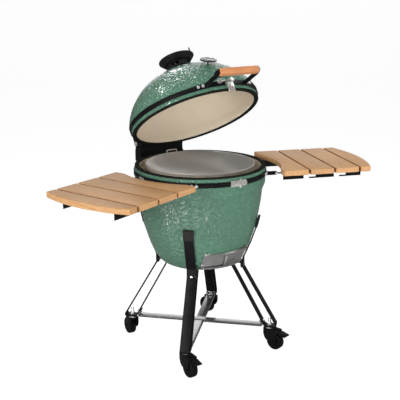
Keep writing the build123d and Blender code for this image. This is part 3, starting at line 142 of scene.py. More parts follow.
floor_mesh = bpy.data.meshes.new("floor")
FLOOR_HALF = 60.0
floor_mesh.from_pydata([(-FLOOR_HALF, -FLOOR_HALF, 0), (FLOOR_HALF, -FLOOR_HALF, 0),
                        (FLOOR_HALF, FLOOR_HALF, 0), (-FLOOR_HALF, FLOOR_HALF, 0)], [], [(0, 1, 2, 3)])
floor = bpy.data.objects.new("floor", floor_mesh)
bpy.context.scene.collection.objects.link(floor)
floor_paint = bpy.data.materials.new("studio_floor")
floor_paint.use_nodes = True
tree = floor_paint.node_tree
tree.nodes["Principled BSDF"].inputs["Base Color"].default_value = (0.42, 0.42, 0.42, 1.0)
tree.nodes["Principled BSDF"].inputs["Roughness"].default_value = 0.9
glow = tree.nodes.new("ShaderNodeEmission")
glow.inputs["Strength"].default_value = 0.86
seen_floor = tree.nodes.new("ShaderNodeLightPath")
lift = tree.nodes.new("ShaderNodeAddShader")
only = tree.nodes.new("ShaderNodeMixShader")
wire(tree, tree.nodes["Principled BSDF"].outputs["BSDF"], lift.inputs[0])
wire(tree, glow.outputs["Emission"], lift.inputs[1])
wire(tree, seen_floor.outputs["Is Camera Ray"], only.inputs["Fac"])
wire(tree, tree.nodes["Principled BSDF"].outputs["BSDF"], only.inputs[1])
wire(tree, lift.outputs["Shader"], only.inputs[2])
wire(tree, only.outputs["Shader"], tree.nodes["Material Output"].inputs["Surface"])
floor_mesh.materials.append(floor_paint)


# ---------------------------------------------------------------- ceramic bowl
# The bowl is one thick shell of fired clay, dipped in a green glaze that dries into a dimpled, glassy skin.
# The rim and the inside are left bare. A raised seat low at the front carries the draft vent.
MM = 0.001
RIM_Z = 797.0
COLLAR_R = 268.5
RIM_BORE_R = 250.0
BASE_TOP_Z = 792.0
COLLAR_LOW_Z = 724.0
SHOULDER_Z = 700.0
BELLY_Z = 752.0
BELLY_R = 260.3
FOOT_R = 147.2
FOOT_Z = 385.6
BOWL_WALL = 22.0
BOWL_FLOOR = 24.0
BOWL_DROOP = 1.671
BOWL_FULL = 1.796
COLUMNS = 720
ROW_STEP = 2.4
SEAT_Z0, SEAT_Z1 = 403.0, 477.0
SEAT_R0, SEAT_R1 = 180.5, 217.0
SEAT_X = 105.0
DRAFT_Z0, DRAFT_Z1 = 426.0, 467.0
DRAFT_START, DRAFT_END = -2.0, 20.0
SEAT_SPREAD = 60.0
RIM_DIMPLE, BOWL_DIMPLE = 0.00016, 0.0010
SMOOTH_RIM_H = 26.0
GLAZE_GREEN = (0.088, 0.203, 0.139)
GLAZE_DEEP = (0.081, 0.190, 0.129)
GLAZE_PALE = (0.094, 0.213, 0.147)
BARE_CLAY = (0.78, 0.69, 0.55)


def new_finish(name, colour, roughness, **sockets):
    """A material with one Principled surface; every number goes on the shader's own socket."""
    finish = bpy.data.materials.new(name)
    finish.use_nodes = True
    shader = finish.node_tree.nodes["Principled BSDF"]
    shader.inputs["Base Color"].default_value = (*colour, 1.0)
    shader.inputs["Roughness"].default_value = roughness
    for socket, value in sockets.items():
        shader.inputs[socket.replace("_", " ")].default_value = value
    return finish, finish.node_tree, shader


def speckle(tree, size, detail=4.0, rough=0.55, stretch=(1, 1, 1), turn=0.0, warp=0.0):
    """Noise of a grain size in metres, in the grill's own frame; stretch lengthens it along an axis."""
    place = tree.nodes.new("ShaderNodeTexCoord")
    lay = tree.nodes.new("ShaderNodeMapping")
    lay.vector_type = "TEXTURE"
    lay.inputs["Rotation"].default_value = (0.0, 0.0, turn)
    lay.inputs["Scale"].default_value = tuple(size * s for s in stretch)
    wire(tree, place.outputs["Object"], lay.inputs["Vector"])
    grain = tree.nodes.new("ShaderNodeTexNoise")
    grain.inputs["Scale"].default_value = 1.0
    grain.inputs["Detail"].default_value = detail
    grain.inputs["Roughness"].default_value = rough
    grain.inputs["Distortion"].default_value = warp
    wire(tree, lay.outputs["Vector"], grain.inputs["Vector"])
    return grain.outputs["Fac"]


def ramp(tree, value, stops):
    """Colour ramp over (position, colour) stops."""
    scale = tree.nodes.new("ShaderNodeValToRGB")
    while len(scale.color_ramp.elements) < len(stops):
        scale.color_ramp.elements.new(0.5)
    for element, (position, colour) in zip(scale.color_ramp.elements, stops):
        element.position = position
        element.color = (*colour, 1.0)
    wire(tree, value, scale.inputs["Fac"])
    return scale.outputs["Color"]


def span(tree, value, low, high, first=0.3, last=0.7):
    """Spread a noise value between two numbers."""
    spread = tree.nodes.new("ShaderNodeMapRange")
    spread.inputs["From Min"].default_value = first
    spread.inputs["From Max"].default_value = last
    spread.inputs["To Min"].default_value = low
    spread.inputs["To Max"].default_value = high
    wire(tree, value, spread.inputs["Value"])
    return spread.outputs["Result"]


def bumped(tree, shader, value, depth, strength=1.0):
    """Raise a value as relief, in metres, under the shader's normal."""
    relief = tree.nodes.new("ShaderNodeBump")
    relief.inputs["Strength"].default_value = strength
    relief.inputs["Distance"].default_value = depth
    wire(tree, value, relief.inputs["Height"])
    wire(tree, relief.outputs["Normal"], shader.inputs["Normal"])


glaze, tree, shader = new_finish("green_glaze", GLAZE_GREEN, 0.12)
dimples = speckle(tree, 0.0130, detail=0.0, warp=1.1)
wire(tree, ramp(tree, dimples, [(0.38, GLAZE_DEEP), (0.5, GLAZE_GREEN), (0.62, GLAZE_PALE)]),
     shader.inputs["Base Color"])
wire(tree, span(tree, speckle(tree, 0.03), 0.07, 0.12), shader.inputs["Roughness"])
crater = span(tree, dimples, 0.0, 1.0, 0.30, 0.70)
crater.node.interpolation_type = "SMOOTHSTEP"
bumped(tree, shader, crater, 0.0027)

bare_clay, tree, shader = new_finish("bare_clay", BARE_CLAY, 0.75)
wire(tree, ramp(tree, speckle(tree, 0.05, detail=6.0), [
    (0.3, tuple(0.97 * c for c in BARE_CLAY)), (0.7, tuple(1.02 * c for c in BARE_CLAY))]),
    shader.inputs["Base Color"])
bumped(tree, shader, speckle(tree, 0.0016, detail=3.0), 0.0003, 0.35)


def walked(corners, step, smoothing=2):
    """Points every step along straight runs between corners, with the corners softened."""
    points = []
    for (r0, z0), (r1, z1) in zip(corners, corners[1:]):
        count = max(1, round(math.hypot(r1 - r0, z1 - z0) / step))
        points += [(r0 + (r1 - r0) * k / count, z0 + (z1 - z0) * k / count) for k in range(count)]
    points.append(corners[-1])
    for _ in range(smoothing):
        inner = [((a[0] + 2 * b[0] + c[0]) / 4, (a[1] + 2 * b[1] + c[1]) / 4)
                 for a, b, c in zip(points, points[1:], points[2:])]
        points = [points[0], *inner, points[-1]]
    return points


def belly(z, wall=0.0):
    """Radius of the bowl at a height, outside or, with a wall, inside."""
    v = min(1.0, max(0.0, (BELLY_Z - z) / (BELLY_Z - FOOT_Z)))
    return FOOT_R - wall + (BELLY_R - FOOT_R) * (1 - v ** BOWL_DROOP) ** (1 / BOWL_FULL)


def around(azimuth, r, z):
    """Point in metres at an azimuth from the front towards +X, a radius and a height in millimetres."""
    a = math.radians(azimuth)
    return (MM * r * math.sin(a), -MM * r * math.cos(a), MM * z)


def put(name, mesh, body, finishes, slot, *stands_for, smooth=True):
    """Put a new piece on its body, in its finishes, in place of the nodes that it stands for."""
    piece = bpy.data.objects.new(name, mesh)
    bpy.context.scene.collection.objects.link(piece)
    for finish in finishes if isinstance(finishes, (list, tuple)) else [finishes]:
        mesh.materials.append(finish)
    if smooth:
        mesh.shade_smooth()
    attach(piece, body)
    if stands_for:
        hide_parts(*stands_for)


def hammered(p, depth, cell=0.0098):
    """Inward depth of the glaze's dimples at a point."""
    broad = noise.noise(p / cell)
    fine = noise.noise(p / (0.48 * cell) + Vector((7.0, 3.0, 1.0)))
    return depth * (0.5 + 0.5 * max(-1.0, min(1.0, 1.25 * broad + 0.35 * fine)))


outer_heights = [FOOT_Z + (SHOULDER_Z - FOOT_Z) * (k / 140) ** 1.15 for k in range(141)]
outer = [(belly(z), z) for z in outer_heights][::-1]
inner_heights = [BELLY_Z - (BELLY_Z - FOOT_Z - BOWL_FLOOR) * k / 60 for k in range(61)]
inner = [(belly(z, BOWL_WALL), z) for z in inner_heights]
outside = walked([(COLLAR_R - 1.5, BASE_TOP_Z), (COLLAR_R, BASE_TOP_Z - 1.5), (COLLAR_R, COLLAR_LOW_Z)]
                 + outer, ROW_STEP, 3)
underside = walked([outer[-1], (0.5, FOOT_Z)], 12.0, 0)[1:]
inside = walked([(RIM_BORE_R, BASE_TOP_Z), (RIM_BORE_R, BELLY_Z + 12.0)] + inner, 7.0, 1)
inside_floor = walked([inner[-1], (0.5, FOOT_Z + BOWL_FLOOR)], 20.0, 0)[1:]
rim_top = walked([(RIM_BORE_R, BASE_TOP_Z), (COLLAR_R - 1.5, BASE_TOP_Z)], 4.0, 0)[1:-1]
profile = inside_floor[::-1] + inside[::-1] + rim_top + outside + underside
first_outside = len(inside_floor) + len(inside) + len(rim_top)
last_outside = first_outside + len(outside)


def clear_rows(points, first, last, z0, z1):
    """First and last row between which the draft opening cuts a wall."""
    low = min(range(first, last), key=lambda k: abs(points[k][1] - z0))
    high = min(range(first, last), key=lambda k: abs(points[k][1] - z1))
    return low, high


verts, faces, skins = [], [], []
for row, (r, z) in enumerate(profile):
    for column in range(COLUMNS):
        azimuth = -180.0 + 360.0 * column / COLUMNS
        radius = r
        if first_outside <= row < last_outside and abs(azimuth) < SEAT_SPREAD and SEAT_Z0 <= z <= SEAT_Z1:
            seat_r = SEAT_R0 + (SEAT_R1 - SEAT_R0) * (z - SEAT_Z0) / (SEAT_Z1 - SEAT_Z0)
            radius = max(r, min(seat_r, SEAT_X / max(0.01, math.sin(math.radians(abs(azimuth))))))
        point = Vector(around(azimuth, radius, z))
        if first_outside <= row < last_outside:
            depth = RIM_DIMPLE if z > COLLAR_LOW_Z + SMOOTH_RIM_H else BOWL_DIMPLE
            inward = Vector((point.x, point.y, 0.0)).normalized()
            point -= inward * hammered(point, depth)
        verts.append(point)
outer_low, outer_high = clear_rows(profile, first_outside, last_outside, DRAFT_Z0, DRAFT_Z1)
inner_low, inner_high = clear_rows(profile, len(inside_floor), first_outside - len(rim_top),
                                   DRAFT_Z0, DRAFT_Z1)
first_column = round((DRAFT_START + 180.0) / 360.0 * COLUMNS)
last_column = round((DRAFT_END + 180.0) / 360.0 * COLUMNS)
for row in range(len(profile) - 1):
    cut = outer_high <= row < outer_low or inner_low <= row < inner_high
    for column in range(COLUMNS):
        if cut and first_column <= column < last_column:
            continue
        after = (column + 1) % COLUMNS
        faces.append((row * COLUMNS + column, row * COLUMNS + after,
                      (row + 1) * COLUMNS + after, (row + 1) * COLUMNS + column))
        skins.append(0 if row >= first_outside - 1 else 1)
faces.append(tuple(range(COLUMNS))[::-1])
faces.append(tuple((len(profile) - 1) * COLUMNS + k for k in range(COLUMNS)))
skins += [1, 0]
for column in range(first_column, last_column):
    for a, b, flip in ((outer_low, inner_low, False), (outer_high, inner_high, True)):
        quad = (a * COLUMNS + column, a * COLUMNS + column + 1, b * COLUMNS + column + 1,
                b * COLUMNS + column)
        faces.append(quad[::-1] if flip else quad)
        skins.append(1)
for column, flip in ((first_column, True), (last_column, False)):
    loop = [row * COLUMNS + column for row in range(outer_high, outer_low + 1)]
    loop += [row * COLUMNS + column for row in range(inner_low, inner_high + 1)]
    faces.append(tuple(loop[::-1] if flip else loop))
    skins.append(1)
bowl_mesh = bpy.data.meshes.new("bowl")
bowl_mesh.from_pydata(verts, [], faces)
bowl_mesh.polygons.foreach_set("material_index", skins)
put("glazed_bowl", bowl_mesh, "stand", [glaze, bare_clay], "green_glaze", "base_bowl")


# ---------------------------------------------------------------- felt gaskets
# Each rim wears a flat ring of dark needled felt, glued down, its edges worn round and its top slightly
# furred. The lid's ring is the same piece turned over.
GASKET_T = 5.0
LID_GAP = 0.4
LID_OPEN = math.radians(-32.5)
HINGE_Y = 322.0
HINGE_Z = RIM_Z + 38.5
hinge_at = Vector((0.0, MM * HINGE_Y, MM * HINGE_Z))
OPENED = Matrix.Translation(hinge_at) @ Matrix.Rotation(LID_OPEN, 4, "X") @ Matrix.Translation(-hinge_at)

felt, tree, shader = new_finish("needled_felt", (0.012, 0.013, 0.011), 1.0, Specular_IOR_Level=0.05)
wire(tree, ramp(tree, speckle(tree, 0.004, detail=6.0), [(0.35, (0.008, 0.009, 0.007)),
                                                        (0.7, (0.022, 0.023, 0.019))]),
     shader.inputs["Base Color"])
bumped(tree, shader, speckle(tree, 0.0012, detail=4.0), 0.0006, 0.8)


FELT_COLUMNS = 720
FELT_SHAKE = 0.16
FELT_GRAIN = 0.003
FELT_SEED = 7


def spun(name, section, turned=None):
    """Mesh of a closed section (radius, height) turned about the bowl's axis, its skin a little rough."""
    verts, faces = [], []
    for k in range(FELT_COLUMNS):
        for r, z in section:
            point = Vector(around(360.0 * k / FELT_COLUMNS, r, z))
            point += noise.noise_vector(point / FELT_GRAIN) * (FELT_SHAKE * MM)
            verts.append(turned @ point if turned else point)
    n = len(section)
    for k in range(FELT_COLUMNS):
        here, there = k * n, (k + 1) % FELT_COLUMNS * n
        for j in range(n):
            i = (j + 1) % n
            faces.append((here + j, there + j, there + i, here + i))
    mesh = bpy.data.meshes.new(name)
    mesh.from_pydata(verts, [], faces)
    mesh.validate()
    tidy = bmesh.new()
    tidy.from_mesh(mesh)
    bmesh.ops.recalc_face_normals(tidy, faces=tidy.faces)
    tidy.to_mesh(mesh)
    tidy.free()
    return mesh


def softened(corners, radius, steps=4):
    """Closed section with each corner turned by an arc."""
    section = []
    for k, corner in enumerate(corners):
        before, after = Vector(corners[k - 1]), Vector(corners[(k + 1) % len(corners)])
        corner = Vector(corner)
        to_before, to_after = (before - corner).normalized(), (after - corner).normalized()
        reach = min(radius, (before - corner).length / 2.01, (after - corner).length / 2.01)
        for step in range(steps + 1):
            t = step / steps
            p = corner + to_before * reach * (1 - t) ** 2 + to_after * reach * t ** 2
            section.append((p.x, p.y))
    return section


noise.seed_set(FELT_SEED)
felt_section = softened([(RIM_BORE_R, BASE_TOP_Z), (COLLAR_R, BASE_TOP_Z), (COLLAR_R, RIM_Z),
                         (RIM_BORE_R, RIM_Z)], 1.8)
put("base_felt_ring", spun("base_felt", felt_section), "stand", felt, "felt", "base_gasket")
lid_section = [(r, z + GASKET_T + LID_GAP) for r, z in felt_section]
put("lid_felt_ring", spun("lid_felt", lid_section, OPENED), "lid", felt, "felt", "lid_gasket")


# ---------------------------------------------------------------- fire box and fire ring
# Two rings of bare refractory clay stand loose in the bowl, the box below with its own draft opening and
# the plain ring above. Their edges are cast round and a little chipped.
def joined_faces(shape):
    """Weld a copy of a solid's skin and merge its flat triangles back into whole faces."""
    bmesh.ops.remove_doubles(shape, verts=shape.verts, dist=0.00002)
    bmesh.ops.dissolve_limit(shape, angle_limit=math.radians(0.4), verts=shape.verts, edges=shape.edges)


SMOOTH_ANGLE = math.radians(40)


def eased(node, width, finish, slot, segments=2, sharp=28.0):
    """The node's own shape with its sharp edges eased round, as a rolled, cast or sanded piece has."""
    mesh = frame["nodes"][node].data.copy()
    mesh.materials.clear()
    shape = bmesh.new()
    shape.from_mesh(mesh)
    joined_faces(shape)
    edges = [e for e in shape.edges if len(e.link_faces) == 2 and e.calc_face_angle(0) > math.radians(sharp)]
    bmesh.ops.bevel(shape, geom=edges, offset=width * MM, segments=segments, profile=0.5,
                    affect="EDGES", clamp_overlap=True)
    for face in shape.faces:
        face.smooth = True
    shape.to_mesh(mesh)
    shape.free()
    mesh.set_sharp_from_angle(angle=SMOOTH_ANGLE)
    put(node + "_finished", mesh, frame["nodes"][node]["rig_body"], finish, slot, node, smooth=False)


fire_clay, tree, shader = new_finish("fire_clay", (0.30, 0.262, 0.215), 0.85)
wire(tree, ramp(tree, speckle(tree, 0.04, detail=7.0), [(0.3, (0.24, 0.208, 0.168)),
                                                       (0.7, (0.36, 0.318, 0.265))]),
     shader.inputs["Base Color"])
bumped(tree, shader, speckle(tree, 0.0018, detail=4.0), 0.0004, 0.5)
eased("fire_box", 1.6, fire_clay, "raw_ceramic")
eased("fire_ring", 1.6, fire_clay, "raw_ceramic")


# ---------------------------------------------------------------- grates
# The charcoal grate is a slotted plate of cast iron. The cooking grate is welded from round stainless
# wire inside a wire hoop, with one wire across below and a lifting loop at the back.
iron, tree, shader = new_finish("cast_iron", (0.008, 0.008, 0.008), 0.6, Specular_IOR_Level=0.25)
wire(tree, ramp(tree, speckle(tree, 0.02, detail=8.0), [(0.3, (0.005, 0.005, 0.005)),
                                                       (0.7, (0.014, 0.014, 0.014))]),
     shader.inputs["Base Color"])
bumped(tree, shader, speckle(tree, 0.0014, detail=5.0), 0.0004, 0.7)
eased("charcoal_grate", 1.2, iron, "cast_iron")

bright_wire, tree, shader = new_finish("bright_wire", (0.47, 0.45, 0.42), 0.45, Metallic=0.55)
wire(tree, span(tree, speckle(tree, 0.006), 0.42, 0.58), shader.inputs["Roughness"])
bumped(tree, shader, speckle(tree, 0.0025), 0.00015, 0.4)
GRATE_R = 227.0
GRATE_T = 5.0
GRATE_RIM_W = 8.0
GRATE_WIRE = 2.0
HOOP_WIRE = 2.4
CROSS_WIRE = 1.2
LOOP_WIRE = 2.3
GRATE_PITCH = 14.0
WIRES_EACH_SIDE = 15
GRATE_RISE = 6.0
GRATE_Z = RIM_Z + GRATE_RISE - GRATE_T
LOOP_W = 55.0
LOOP_D = 5.0
LOOP_H = 14.5


def tube(points, radius, sides=8, closed=False):
    """Vertices and faces of a round wire along points in millimetres."""
    spine = [Vector(p) for p in points]
    verts, faces = [], []
    count = len(spine)
    normal = None
    for k, p in enumerate(spine):
        before = spine[k - 1] if k or closed else p
        after = spine[(k + 1) % count] if k < count - 1 or closed else p
        along = (after - before).normalized()
        if normal is None:
            normal = along.orthogonal().normalized()
        normal = (normal - along * normal.dot(along)).normalized()
        side = along.cross(normal)
        for j in range(sides):
            a = 2 * math.pi * j / sides
            verts.append((p + (normal * math.cos(a) + side * math.sin(a)) * radius) * MM)
    for k in range(count if closed else count - 1):
        here, there = k * sides, (k + 1) % count * sides
        for j in range(sides):
            i = (j + 1) % sides
            faces.append((here + j, here + i, there + i, there + j))
    if not closed:
        faces.append(tuple(range(sides))[::-1])
        faces.append(tuple((count - 1) * sides + j for j in range(sides)))
    return verts, faces


def gathered(name, parts):
    """One mesh from several (vertices, faces) lists."""
    verts, faces = [], []
    for part_verts, part_faces in parts:
        first = len(verts)
        verts += part_verts
        faces += [tuple(first + k for k in face) for face in part_faces]
    mesh = bpy.data.meshes.new(name)
    mesh.from_pydata(verts, [], faces)
    return mesh


hoop_r = GRATE_R - GRATE_RIM_W / 2
wire_z = GRATE_Z + GRATE_T - GRATE_WIRE
hoop = [(hoop_r * math.cos(math.radians(k)), hoop_r * math.sin(math.radians(k)), GRATE_Z + HOOP_WIRE)
        for k in range(0, 360, 3)]
wires = [tube(hoop, HOOP_WIRE, 10, True)]
for k in range(-WIRES_EACH_SIDE, WIRES_EACH_SIDE + 1):
    y = k * GRATE_PITCH
    half = math.sqrt(hoop_r ** 2 - y ** 2) - 1.0
    wires.append(tube([(-half, y, wire_z), (0.0, y, wire_z), (half, y, wire_z)], GRATE_WIRE))
half = hoop_r - 1.0
wires.append(tube([(0.0, -half, GRATE_Z + CROSS_WIRE), (0.0, half, GRATE_Z + CROSS_WIRE)], CROSS_WIRE))
loop_y = hoop_r - LOOP_D
loop_top = GRATE_Z + GRATE_T + LOOP_H - 2.5
loop_half = LOOP_W / 2 - 2.4
loop_points = [(-loop_half, loop_y, wire_z), (-loop_half, loop_y, loop_top - 4),
               (-loop_half + 1.2, loop_y, loop_top - 1.2), (-loop_half + 4, loop_y, loop_top),
               (loop_half - 4, loop_y, loop_top), (loop_half - 1.2, loop_y, loop_top - 1.2),
               (loop_half, loop_y, loop_top - 4), (loop_half, loop_y, wire_z)]
wires.append(tube(loop_points, LOOP_WIRE, 10))
put("wire_grate", gathered("wire_grate", wires), "grate", bright_wire, "stainless", "cooking_grate")


# ---------------------------------------------------------------- draft vent
# A pressed stainless frame is screwed to the raised seat by four corner screws. A perforated ash screen
# and, over it, a plain door with a finger tab slide in its folded tracks.
brushed, tree, shader = new_finish("brushed_stainless", (0.52, 0.52, 0.51), 0.34, Metallic=1.0)
streaks = speckle(tree, 0.0012, detail=3.0, stretch=(30, 30, 1))
wire(tree, span(tree, streaks, 0.26, 0.44), shader.inputs["Roughness"])
wire(tree, ramp(tree, streaks, [(0.3, (0.45, 0.45, 0.44)), (0.7, (0.60, 0.60, 0.59))]),
     shader.inputs["Base Color"])
bumped(tree, shader, streaks, 0.0001, 0.25)
zinc, tree, shader = new_finish("zinc_plate", (0.86, 0.86, 0.85), 0.22, Metallic=0.7)
wire(tree, span(tree, speckle(tree, 0.004), 0.16, 0.32), shader.inputs["Roughness"])
bumped(tree, shader, speckle(tree, 0.001), 0.00005, 0.3)
eased("vent_frame", 0.3, brushed, "stainless")
eased("ash_screen", 0.25, brushed, "stainless", sharp=40)
eased("draft_door", 0.3, brushed, "stainless")
eased("vent_screws", 0.8, zinc, "zinc_bolt", segments=3)


# ---------------------------------------------------------------- steel bands and their fittings
# Both rims are gripped by a strap of black coated spring steel. Plates are bolted to the straps with
# round-headed bright bolts, and each strap is drawn tight by a clamp at the front.
black_coat, tree, shader = new_finish("black_coat", (0.005, 0.005, 0.0052), 0.45, Specular_IOR_Level=0.1)
wire(tree, ramp(tree, speckle(tree, 0.05, detail=5.0), [(0.3, (0.0035, 0.0035, 0.0037)),
                                                       (0.7, (0.007, 0.007, 0.0074))]),
     shader.inputs["Base Color"])
wire(tree, span(tree, speckle(tree, 0.02), 0.38, 0.54), shader.inputs["Roughness"])
bumped(tree, shader, speckle(tree, 0.0018, detail=2.0), 0.00012, 0.35)
for strap in ("lower_band", "upper_band"):
    eased(strap, 0.7, black_coat, "black_steel")
for fixings in ("lower_band_bolts", "upper_band_bolts"):
    eased(fixings, 1.3, zinc, "zinc_bolt", segments=3)
pressed, tree, shader = new_finish("pressed_stainless", (0.62, 0.61, 0.59), 0.3, Metallic=0.75)
wire(tree, span(tree, speckle(tree, 0.003), 0.22, 0.38), shader.inputs["Roughness"])
for clamp in ("lower_clamp", "upper_clamp", "lid_catch"):
    eased(clamp, 0.6, pressed, "stainless")


# ---------------------------------------------------------------- lid hinge
# A folded black housing is bolted to the lower band and carries a steel shaft with two wound springs.
# The lid's bracket turns on the same shaft outside the housing's cheeks.
for plate in ("hinge_housing", "lid_hinge_bracket"):
    eased(plate, 0.8, black_coat, "black_steel")
eased("hinge_shaft", 0.8, zinc, "zinc_bolt")
spring_steel, tree, shader = new_finish("spring_steel", (0.09, 0.09, 0.095), 0.4, Metallic=0.9)
wire(tree, span(tree, speckle(tree, 0.003), 0.3, 0.5), shader.inputs["Roughness"])
SPRING_X0 = 32.0
SPRING_L = 70.0
COIL_R = 10.6
COIL_WIRE = 2.2
coils = []
for start_x in (SPRING_X0, -SPRING_X0 - SPRING_L):
    turns = (SPRING_L - 2 * COIL_WIRE) / (2.08 * COIL_WIRE)
    steps = int(turns * 20)
    coils.append(tube([(start_x + COIL_WIRE + (SPRING_L - 2 * COIL_WIRE) * k / steps,
                        HINGE_Y + COIL_R * math.cos(2 * math.pi * turns * k / steps),
                        HINGE_Z + COIL_R * math.sin(2 * math.pi * turns * k / steps))
                       for k in range(steps + 1)], COIL_WIRE, 8))
put("wound_springs", gathered("wound_springs", coils), "stand", spring_steel, "spring_steel",
    "hinge_springs")


# ---------------------------------------------------------------- stand
# Each leg is one black coated bar, bent from under a rubber pad on the bowl, down to the caster, and back
# up beneath the bowl. Two flat bars, lapped where they cross, tie the four legs together.
eased("shelf_arms", 0.6, black_coat, "black_steel")
for corner in ("front_left", "front_right", "rear_right", "rear_left"):
    eased("leg_" + corner, 0.8, black_coat, "black_steel")
eased("leg_bolts", 0.8, zinc, "zinc_bolt")
tie_coat, tree, shader = new_finish("tie_bar_coat", (0.05, 0.05, 0.051), 0.2, IOR=1.9, Coat_Weight=1.0,
                                    Coat_Roughness=0.1)
wire(tree, span(tree, speckle(tree, 0.02), 0.2, 0.32), shader.inputs["Roughness"])
eased("cross_braces", 0.8, tie_coat, "black_steel")
rubber, tree, shader = new_finish("pad_rubber", (0.012, 0.011, 0.010), 0.62, Specular_IOR_Level=0.2)
wire(tree, ramp(tree, speckle(tree, 0.01, detail=6.0), [(0.3, (0.009, 0.008, 0.007)),
                                                       (0.7, (0.016, 0.015, 0.013))]),
     shader.inputs["Base Color"])
bumped(tree, shader, speckle(tree, 0.0012), 0.0002, 0.5)
eased("leg_pads", 2.0, rubber, "rubber", segments=4)


# ---------------------------------------------------------------- casters
# Four swivel casters of black moulded nylon on pressed forks, their stems nutted through the leg's foot.
# The front two have a brake pedal over the wheel.
nylon, tree, shader = new_finish("black_nylon", (0.004, 0.004, 0.0044), 0.42, Specular_IOR_Level=0.08)
wire(tree, ramp(tree, speckle(tree, 0.01), [(0.3, (0.003, 0.003, 0.0033)), (0.7, (0.006, 0.006, 0.0064))]),
     shader.inputs["Base Color"])
bumped(tree, shader, speckle(tree, 0.0015), 0.0001, 0.4)
for corner in ("front_left", "front_right", "rear_right", "rear_left"):
    eased("caster_fork_" + corner, 0.7, black_coat, "black_steel")
    eased("caster_wheel_" + corner, 0.8, nylon, "rubber", sharp=35)
for corner in ("front_left", "front_right"):
    eased("brake_pedal_" + corner, 1.2, nylon, "black_plastic")
eased("caster_stems", 0.8, zinc, "black_steel")


# ---------------------------------------------------------------- ceramic lid
# The lid is a dome of the same clay and glaze, with a short raised collar round the chimney. Inside it is
# bare, pale and smooth.
DOME_R = 270.8
DOME_START = RIM_Z + 40.0
DOME_RISE = 169.1
DOME_DROOP = 1.322
DOME_FULL = 2.625
LID_WALL = 20.0
CHIMNEY_R = 44.0
CHIMNEY_OUT_R = 56.0
CHIMNEY_TOP = RIM_Z + 222.0
LID_BASE_Z = RIM_Z + LID_GAP + GASKET_T
LID_DIMPLE = 0.0011
SMOOTH_COLLAR_H = 42.0


def dome(r, radius, rise):
    """Height of the dome at a radius."""
    return DOME_START + rise * (1 - min(1.0, r / radius) ** DOME_FULL) ** (1 / DOME_DROOP)


def dome_run(radius, rise, last_r, count):
    """Points of a dome from its edge in to a radius, closer together where it is steep."""
    points = []
    for k in range(count + 1):
        t = math.radians(90.0 * k / count)
        r = last_r + (radius - last_r) * max(math.cos(t), 0.0) ** (2 / DOME_FULL)
        points.append((r, dome(r, radius, rise)))
    return points


outer = dome_run(DOME_R, DOME_RISE, CHIMNEY_OUT_R, 160)
inner = dome_run(DOME_R - LID_WALL, DOME_RISE - LID_WALL, CHIMNEY_R, 60)
outside = walked([(COLLAR_R - 1.5, LID_BASE_Z), (COLLAR_R, LID_BASE_Z + 1.5), (COLLAR_R, DOME_START - 2.0)]
                 + outer + [(CHIMNEY_OUT_R, CHIMNEY_TOP - 2.0), (CHIMNEY_OUT_R - 2.0, CHIMNEY_TOP)],
                 ROW_STEP, 3)
bore = [(CHIMNEY_R + 1.0, CHIMNEY_TOP), (CHIMNEY_R, CHIMNEY_TOP - 1.0)]
inside = walked(inner[::-1] + [(DOME_R - LID_WALL, LID_BASE_Z)], 7.0, 1)
rim = walked([(DOME_R - LID_WALL, LID_BASE_Z), (COLLAR_R - 1.5, LID_BASE_Z)], 4.0, 0)[1:-1]
profile = outside + bore + inside + rim
verts, faces, skins = [], [], []
for row, (r, z) in enumerate(profile):
    for column in range(COLUMNS):
        point = Vector(around(-180.0 + 360.0 * column / COLUMNS, r, z))
        if row < len(outside):
            depth = RIM_DIMPLE if z < RIM_Z + SMOOTH_COLLAR_H else LID_DIMPLE
            outward = Vector((point.x, point.y, max(0.0, point.z - MM * DOME_START) * 1.4)).normalized()
            point -= outward * hammered(point, depth)
        verts.append(OPENED @ point)
for row in range(len(profile)):
    below = (row + 1) % len(profile)
    for column in range(COLUMNS):
        after = (column + 1) % COLUMNS
        faces.append((row * COLUMNS + column, row * COLUMNS + after,
                      below * COLUMNS + after, below * COLUMNS + column)[::-1])
        skins.append(0 if row < len(outside) + 1 else 1)
lid_mesh = bpy.data.meshes.new("lid")
lid_mesh.from_pydata(verts, [], faces)
lid_mesh.polygons.foreach_set("material_index", skins)
put("glazed_lid", lid_mesh, "lid", [glaze, bare_clay], "green_glaze", "lid_dome")


# ---------------------------------------------------------------- lid handle
# A square bar of oiled hardwood, its long edges well rounded, is screwed to two bent steel arms that are
# bolted to the upper band.
eased("handle_brackets", 0.7, black_coat, "black_steel")


